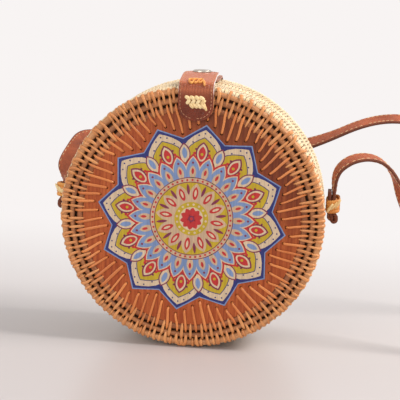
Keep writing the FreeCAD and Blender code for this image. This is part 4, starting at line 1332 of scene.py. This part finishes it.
snap_piece("cap", [(0, 207.85), (6.8, 207.85), (7.0, 208.0), (7.0, 208.7), (6.8, 209.1), (6.2, 209.4),
                   (5.2, 209.55), (4.6, 209.5), (3.0, 209.7), (0, 209.8)], "clasp_flap", "snap_cap")
snap_piece("socket", [(2.4, 204.8), (3.0, 204.7), (4.6, 204.9), (5.0, 205.3), (5.0, 205.8), (2.4, 205.8)],
           "clasp_flap", "snap_socket")
snap_piece("stud", [(0, 203.2), (5.0, 203.2), (5.0, 203.5), (4.7, 203.7), (2.2, 203.75), (1.9, 203.9),
                    (2.0, 204.2), (1.6, 204.5), (0, 204.5)], "rear_half", "snap_stud")

# %% [markdown]
# ## Cane knots
# Cane knots hold the leather to the hoops. On the faces they look like a short plait: rows of slanting
# grains with a longer end at the lower right. On top they are small loops. Grains are stretched spheres,
# and loops are tori. Real knots cross over and under; at this size, shapes laid side by side look the
# same.

# %% Grains and loops
KNOT_TUBE = 0.3


def new_grain(width, length, height):
    """A sphere with fuller corners, stretched to a size in millimetres."""
    deselect()
    bpy.ops.mesh.primitive_uv_sphere_add(segments=10, ring_count=8, radius=0.5)
    shape = named("grain")
    points = points_of(shape)
    points *= (0.25 / np.sum(points ** 4, axis=1, keepdims=True) ** 0.5) ** 0.25
    set_points(shape, points * [width * MM, length * MM, height * MM])
    return shape


def new_loop(width, length, tube):
    """A long ring, to a size in millimetres."""
    deselect()
    bpy.ops.mesh.primitive_torus_add(major_segments=20, minor_segments=8, major_radius=1.0,
                                     minor_radius=KNOT_TUBE)
    shape = named("loop")
    size = np.array([width, length, tube]) / [2 + 2 * KNOT_TUBE, 2 + 2 * KNOT_TUBE, 2 * KNOT_TUBE]
    set_points(shape, points_of(shape) * size * MM)
    return shape


# %% Knots on the leather
FACE_KNOT = 188.9 - TAB_FOOT
KNOT_LIFT = LEATHER / 2 + 0.5
PLAIT_STEP, KNOT_STEP = 3.6, 3.5


def face_knot(name, path, body, node_name, seed):
    """A plait of three rows."""
    noise = np.random.default_rng(seed)
    moves = []
    for count in range(4):
        step = (count - 1.5) * PLAIT_STEP
        rows = ((2.9, step - 0.6, 0.95), (0.1, step + 0.2, -0.7), (-2.8, step * 0.8 + 1.4, 0.75))
        for rise, across, turn in rows:
            across = across + noise.normal(0, 0.12)
            turn = turn + noise.normal(0, 0.08)
            moves.append(on_leather(path, FACE_KNOT + rise, across, KNOT_LIFT, turn))
    plait = repeat(new_grain(2.9, 4.9, 2.5), name, moves, seed, "pale_cane")
    tail_moves = [on_leather(path, FACE_KNOT - 2.6, 6.8, KNOT_LIFT + 0.05, 0.42)]
    tail = repeat(new_grain(2.3, 8.2, 1.9), name + "_tail", tail_moves, seed + 1, "pale_cane")
    settle(join(name, plait, tail), body, "lashing_cane", node_name)


def top_knot(name, path, depth, body, node_name, seed):
    """Loops side by side across the leather, with one strand running out to the right."""
    middle = path.where(0, depth)
    moves = []
    for count in range(3):
        across = (count - 1) * KNOT_STEP - 0.8
        moves.append(on_leather(path, middle + 0.4 * count, across, KNOT_LIFT, 0.25 - 0.2 * count))
    loops = repeat(new_loop(4.6, 8.0, 2.2), name, moves, seed, "amber_cane")
    strand_moves = [on_leather(path, middle - 1.6, 5.2, KNOT_LIFT + 0.1, 0.3),
                    on_leather(path, middle + 3.2, -0.8, KNOT_LIFT + 0.2, 1.45)]
    strand = repeat(new_grain(2.0, 7.4, 2.0), name + "_strand", strand_moves, seed + 1, "amber_cane")
    settle(join(name, loops, strand), body, "lashing_cane", node_name)


face_knot("front_face_knot", FRONT_PATH, "front_half", "front_tab_face_lashing", 81)
face_knot("rear_face_knot", REAR_PATH, "rear_half", "rear_tab_face_lashing", 83)
top_knot("front_top_knot", FRONT_PATH, -37.0, "front_half", "front_tab_top_lashing", 85)
top_knot("rear_top_knot", REAR_PATH, 35.1, "rear_half", "rear_tab_top_lashing", 87)

# %% [markdown]
# ## Strap ends and bindings
# Each end of the strap is folded up on itself and bound to the seam with cane. The fold is the strap's
# own section swept round a U that splays a little at its lower end. A binding is four turns of cane, each
# a torus pushed out to the corners of the folded strap, with three slanting strands across them and a
# bundle of ends tucked inside.

# %% Strap ends
FOLD_OUTER, FOLD_INNER = 106.2, 103.0
FOLD_LOW, FOLD_TOP = 97.5, 121.0
STRAP_DEPTH = 4.0
SPLAY, SPLAY_TOP, SPLAY_RUN = 0.22, 105.0, 4.0
FOLD_THICKNESS = 2.9 * MM


def strap_end(name, side, node_name):
    radius = (FOLD_OUTER - FOLD_INNER) / 2
    bend = FOLD_LOW + radius
    swings = pi * np.arange(1, 12) / 12
    across = np.concatenate([np.full(9, FOLD_OUTER), FOLD_INNER + radius * (1 + np.cos(swings)),
                             np.full(9, FOLD_INNER)])
    height = np.concatenate([np.linspace(STRAP_START, bend, 9), bend - radius * np.sin(swings),
                             np.linspace(bend, FOLD_TOP, 9)])
    splay = np.clip((SPLAY_TOP - height) / SPLAY_RUN, 0, 1) * SPLAY
    across = across + STRAP_WIDTH / MM / 2 * splay
    line = np.stack([side * across, np.full(len(height), STRAP_DEPTH), height], axis=1) * MM
    widths = np.stack([-side * splay, np.ones(len(line)), np.zeros(len(line))], axis=1)
    width, normal = along_line(line, widths)[1:]
    piece = sweep_strip(name, line, width, normal, FOLD_THICKNESS)
    settle(piece, "rear_half", "leather", node_name)


strap_end("strap_end_left", -1, "strap_fold_left")
strap_end("strap_end_right", 1, "strap_fold_right")


# %% Cane bindings
BINDING_X, BINDING_LOW, BINDING_STEP = 105.9, 106.3, 2.6
BUNDLE_X, BUNDLE_HEIGHT = 106.0, 110.2
SLANT_DEPTH = -5.2
# How far a turn reaches along X and Y, and the scale of its tube outwards and upwards.
TURN_X, TURN_Y = 4.7, 8.1
TURN_OUT, TURN_UP = 4.5, 7.4


def new_turn():
    """One turn of cane about the upright axis, square enough to hug the folded strap."""
    deselect()
    bpy.ops.mesh.primitive_torus_add(major_segments=32, minor_segments=8, major_radius=1.0,
                                     minor_radius=0.2)
    shape = named("turn")
    x, y, z = points_of(shape).T
    swing = np.arctan2(y, x)
    off = (np.hypot(x, y) - 1.0) * TURN_OUT
    square = (np.abs(np.cos(swing)) ** 4 + np.abs(np.sin(swing)) ** 4) ** (-1 / 4)
    x = np.cos(swing) * (square * TURN_X + off)
    y = np.sin(swing) * (square * TURN_Y + off)
    set_points(shape, np.stack([x, y, z * TURN_UP], axis=1) * MM)
    return shape


def binding(name, side, node_name, seed):
    noise = np.random.default_rng(seed)
    moves = []
    for count in range(4):
        height = BINDING_LOW + BINDING_STEP * count + noise.normal(0, 0.1)
        start = np.array([side * BINDING_X, STRAP_DEPTH, height]) * MM
        lean = 0.12 * side + noise.normal(0, 0.03)
        moves.append(placed(start, np.array([1, 0, lean]), np.array([0, 1, lean * 0.8]), UPRIGHT))
    turns = repeat(new_turn(), name, moves, seed, "amber_cane")
    slants = []
    for reach, height, slant in ((-2.6, 108.6, 32), (0.4, 110.4, 40), (3.2, 112.2, 30)):
        turn = np.array(Matrix.Rotation(radians(slant * side), 3, "Y"))
        start = np.array([side * (FOLD_OUTER + reach), SLANT_DEPTH, height]) * MM
        slants.append(placed(start, turn[:, 0], turn[:, 2], -turn[:, 1]))
    strand = repeat(new_grain(2.3, 8.6, 2.2), name + "_strand", slants, seed + 1, "pale_cane")
    inside = placed(np.array([side * BUNDLE_X, STRAP_DEPTH, BUNDLE_HEIGHT]) * MM, *np.eye(3))
    bundle = repeat(new_grain(10.4, 17.0, 10.2), name + "_bundle", [inside], seed + 2, "amber_cane")
    settle(join(name, turns, strand, bundle), "rear_half", "lashing_cane", node_name)


binding("strap_binding_left", -1, "strap_lashing_left", 91)
binding("strap_binding_right", 1, "strap_lashing_right", 93)

# %% [markdown]
# ## Bottom lacing
# Two bands of cane lace the halves together under the bag and are its hinge. Each strand is a cane strip
# along a shallow path across the seam. When the bag opens, the strands bend between the halves. A stiff
# band would tear away from one half; here the piece's place is only baked into its points, and it is
# fixed to neither half.

# %% Bottom lacing
LACE_WIDTH, LACE_HEIGHT = 2.3, 0.8
LACE_STEP = 2.5
BAND_PLACE = 12
lace_rows = soften([(7.2, 2.6), (6.8, 1.3), (5.2, 0.75), (0, 0.65), (-5.2, 0.75), (-6.8, 1.3), (-7.2, 2.6)])
lace_places = walked(lace_rows) / walked(lace_rows)[-1]
lace_slope = unit(np.gradient(lace_rows, lace_places, axis=0))


def lace_strand(middle):
    def move(points):
        depth, height = read_rows(lace_rows, lace_places, points[:, 1])
        run, rise = read_rows(lace_slope, lace_places, points[:, 1])
        lift = (points[:, 2] - 0.3) * LACE_HEIGHT
        across = middle - points[:, 0] * LACE_WIDTH
        return np.stack([across, depth - lift * rise, height + lift * run], axis=1) * MM
    return move


strands = [lace_strand(side * (BAND_PLACE + (count - 1.5) * LACE_STEP))
           for side in (-1, 1) for count in range(4)]
bottom_lacing = repeat(new_strip(13), "bottom_lacing", strands, 95, "amber_cane")
settle(bottom_lacing, "rear_half", "lashing_cane", "hinge_lashings",
       bend=("front_half", (0, 0.003, 0), (0, -0.003, 0)))
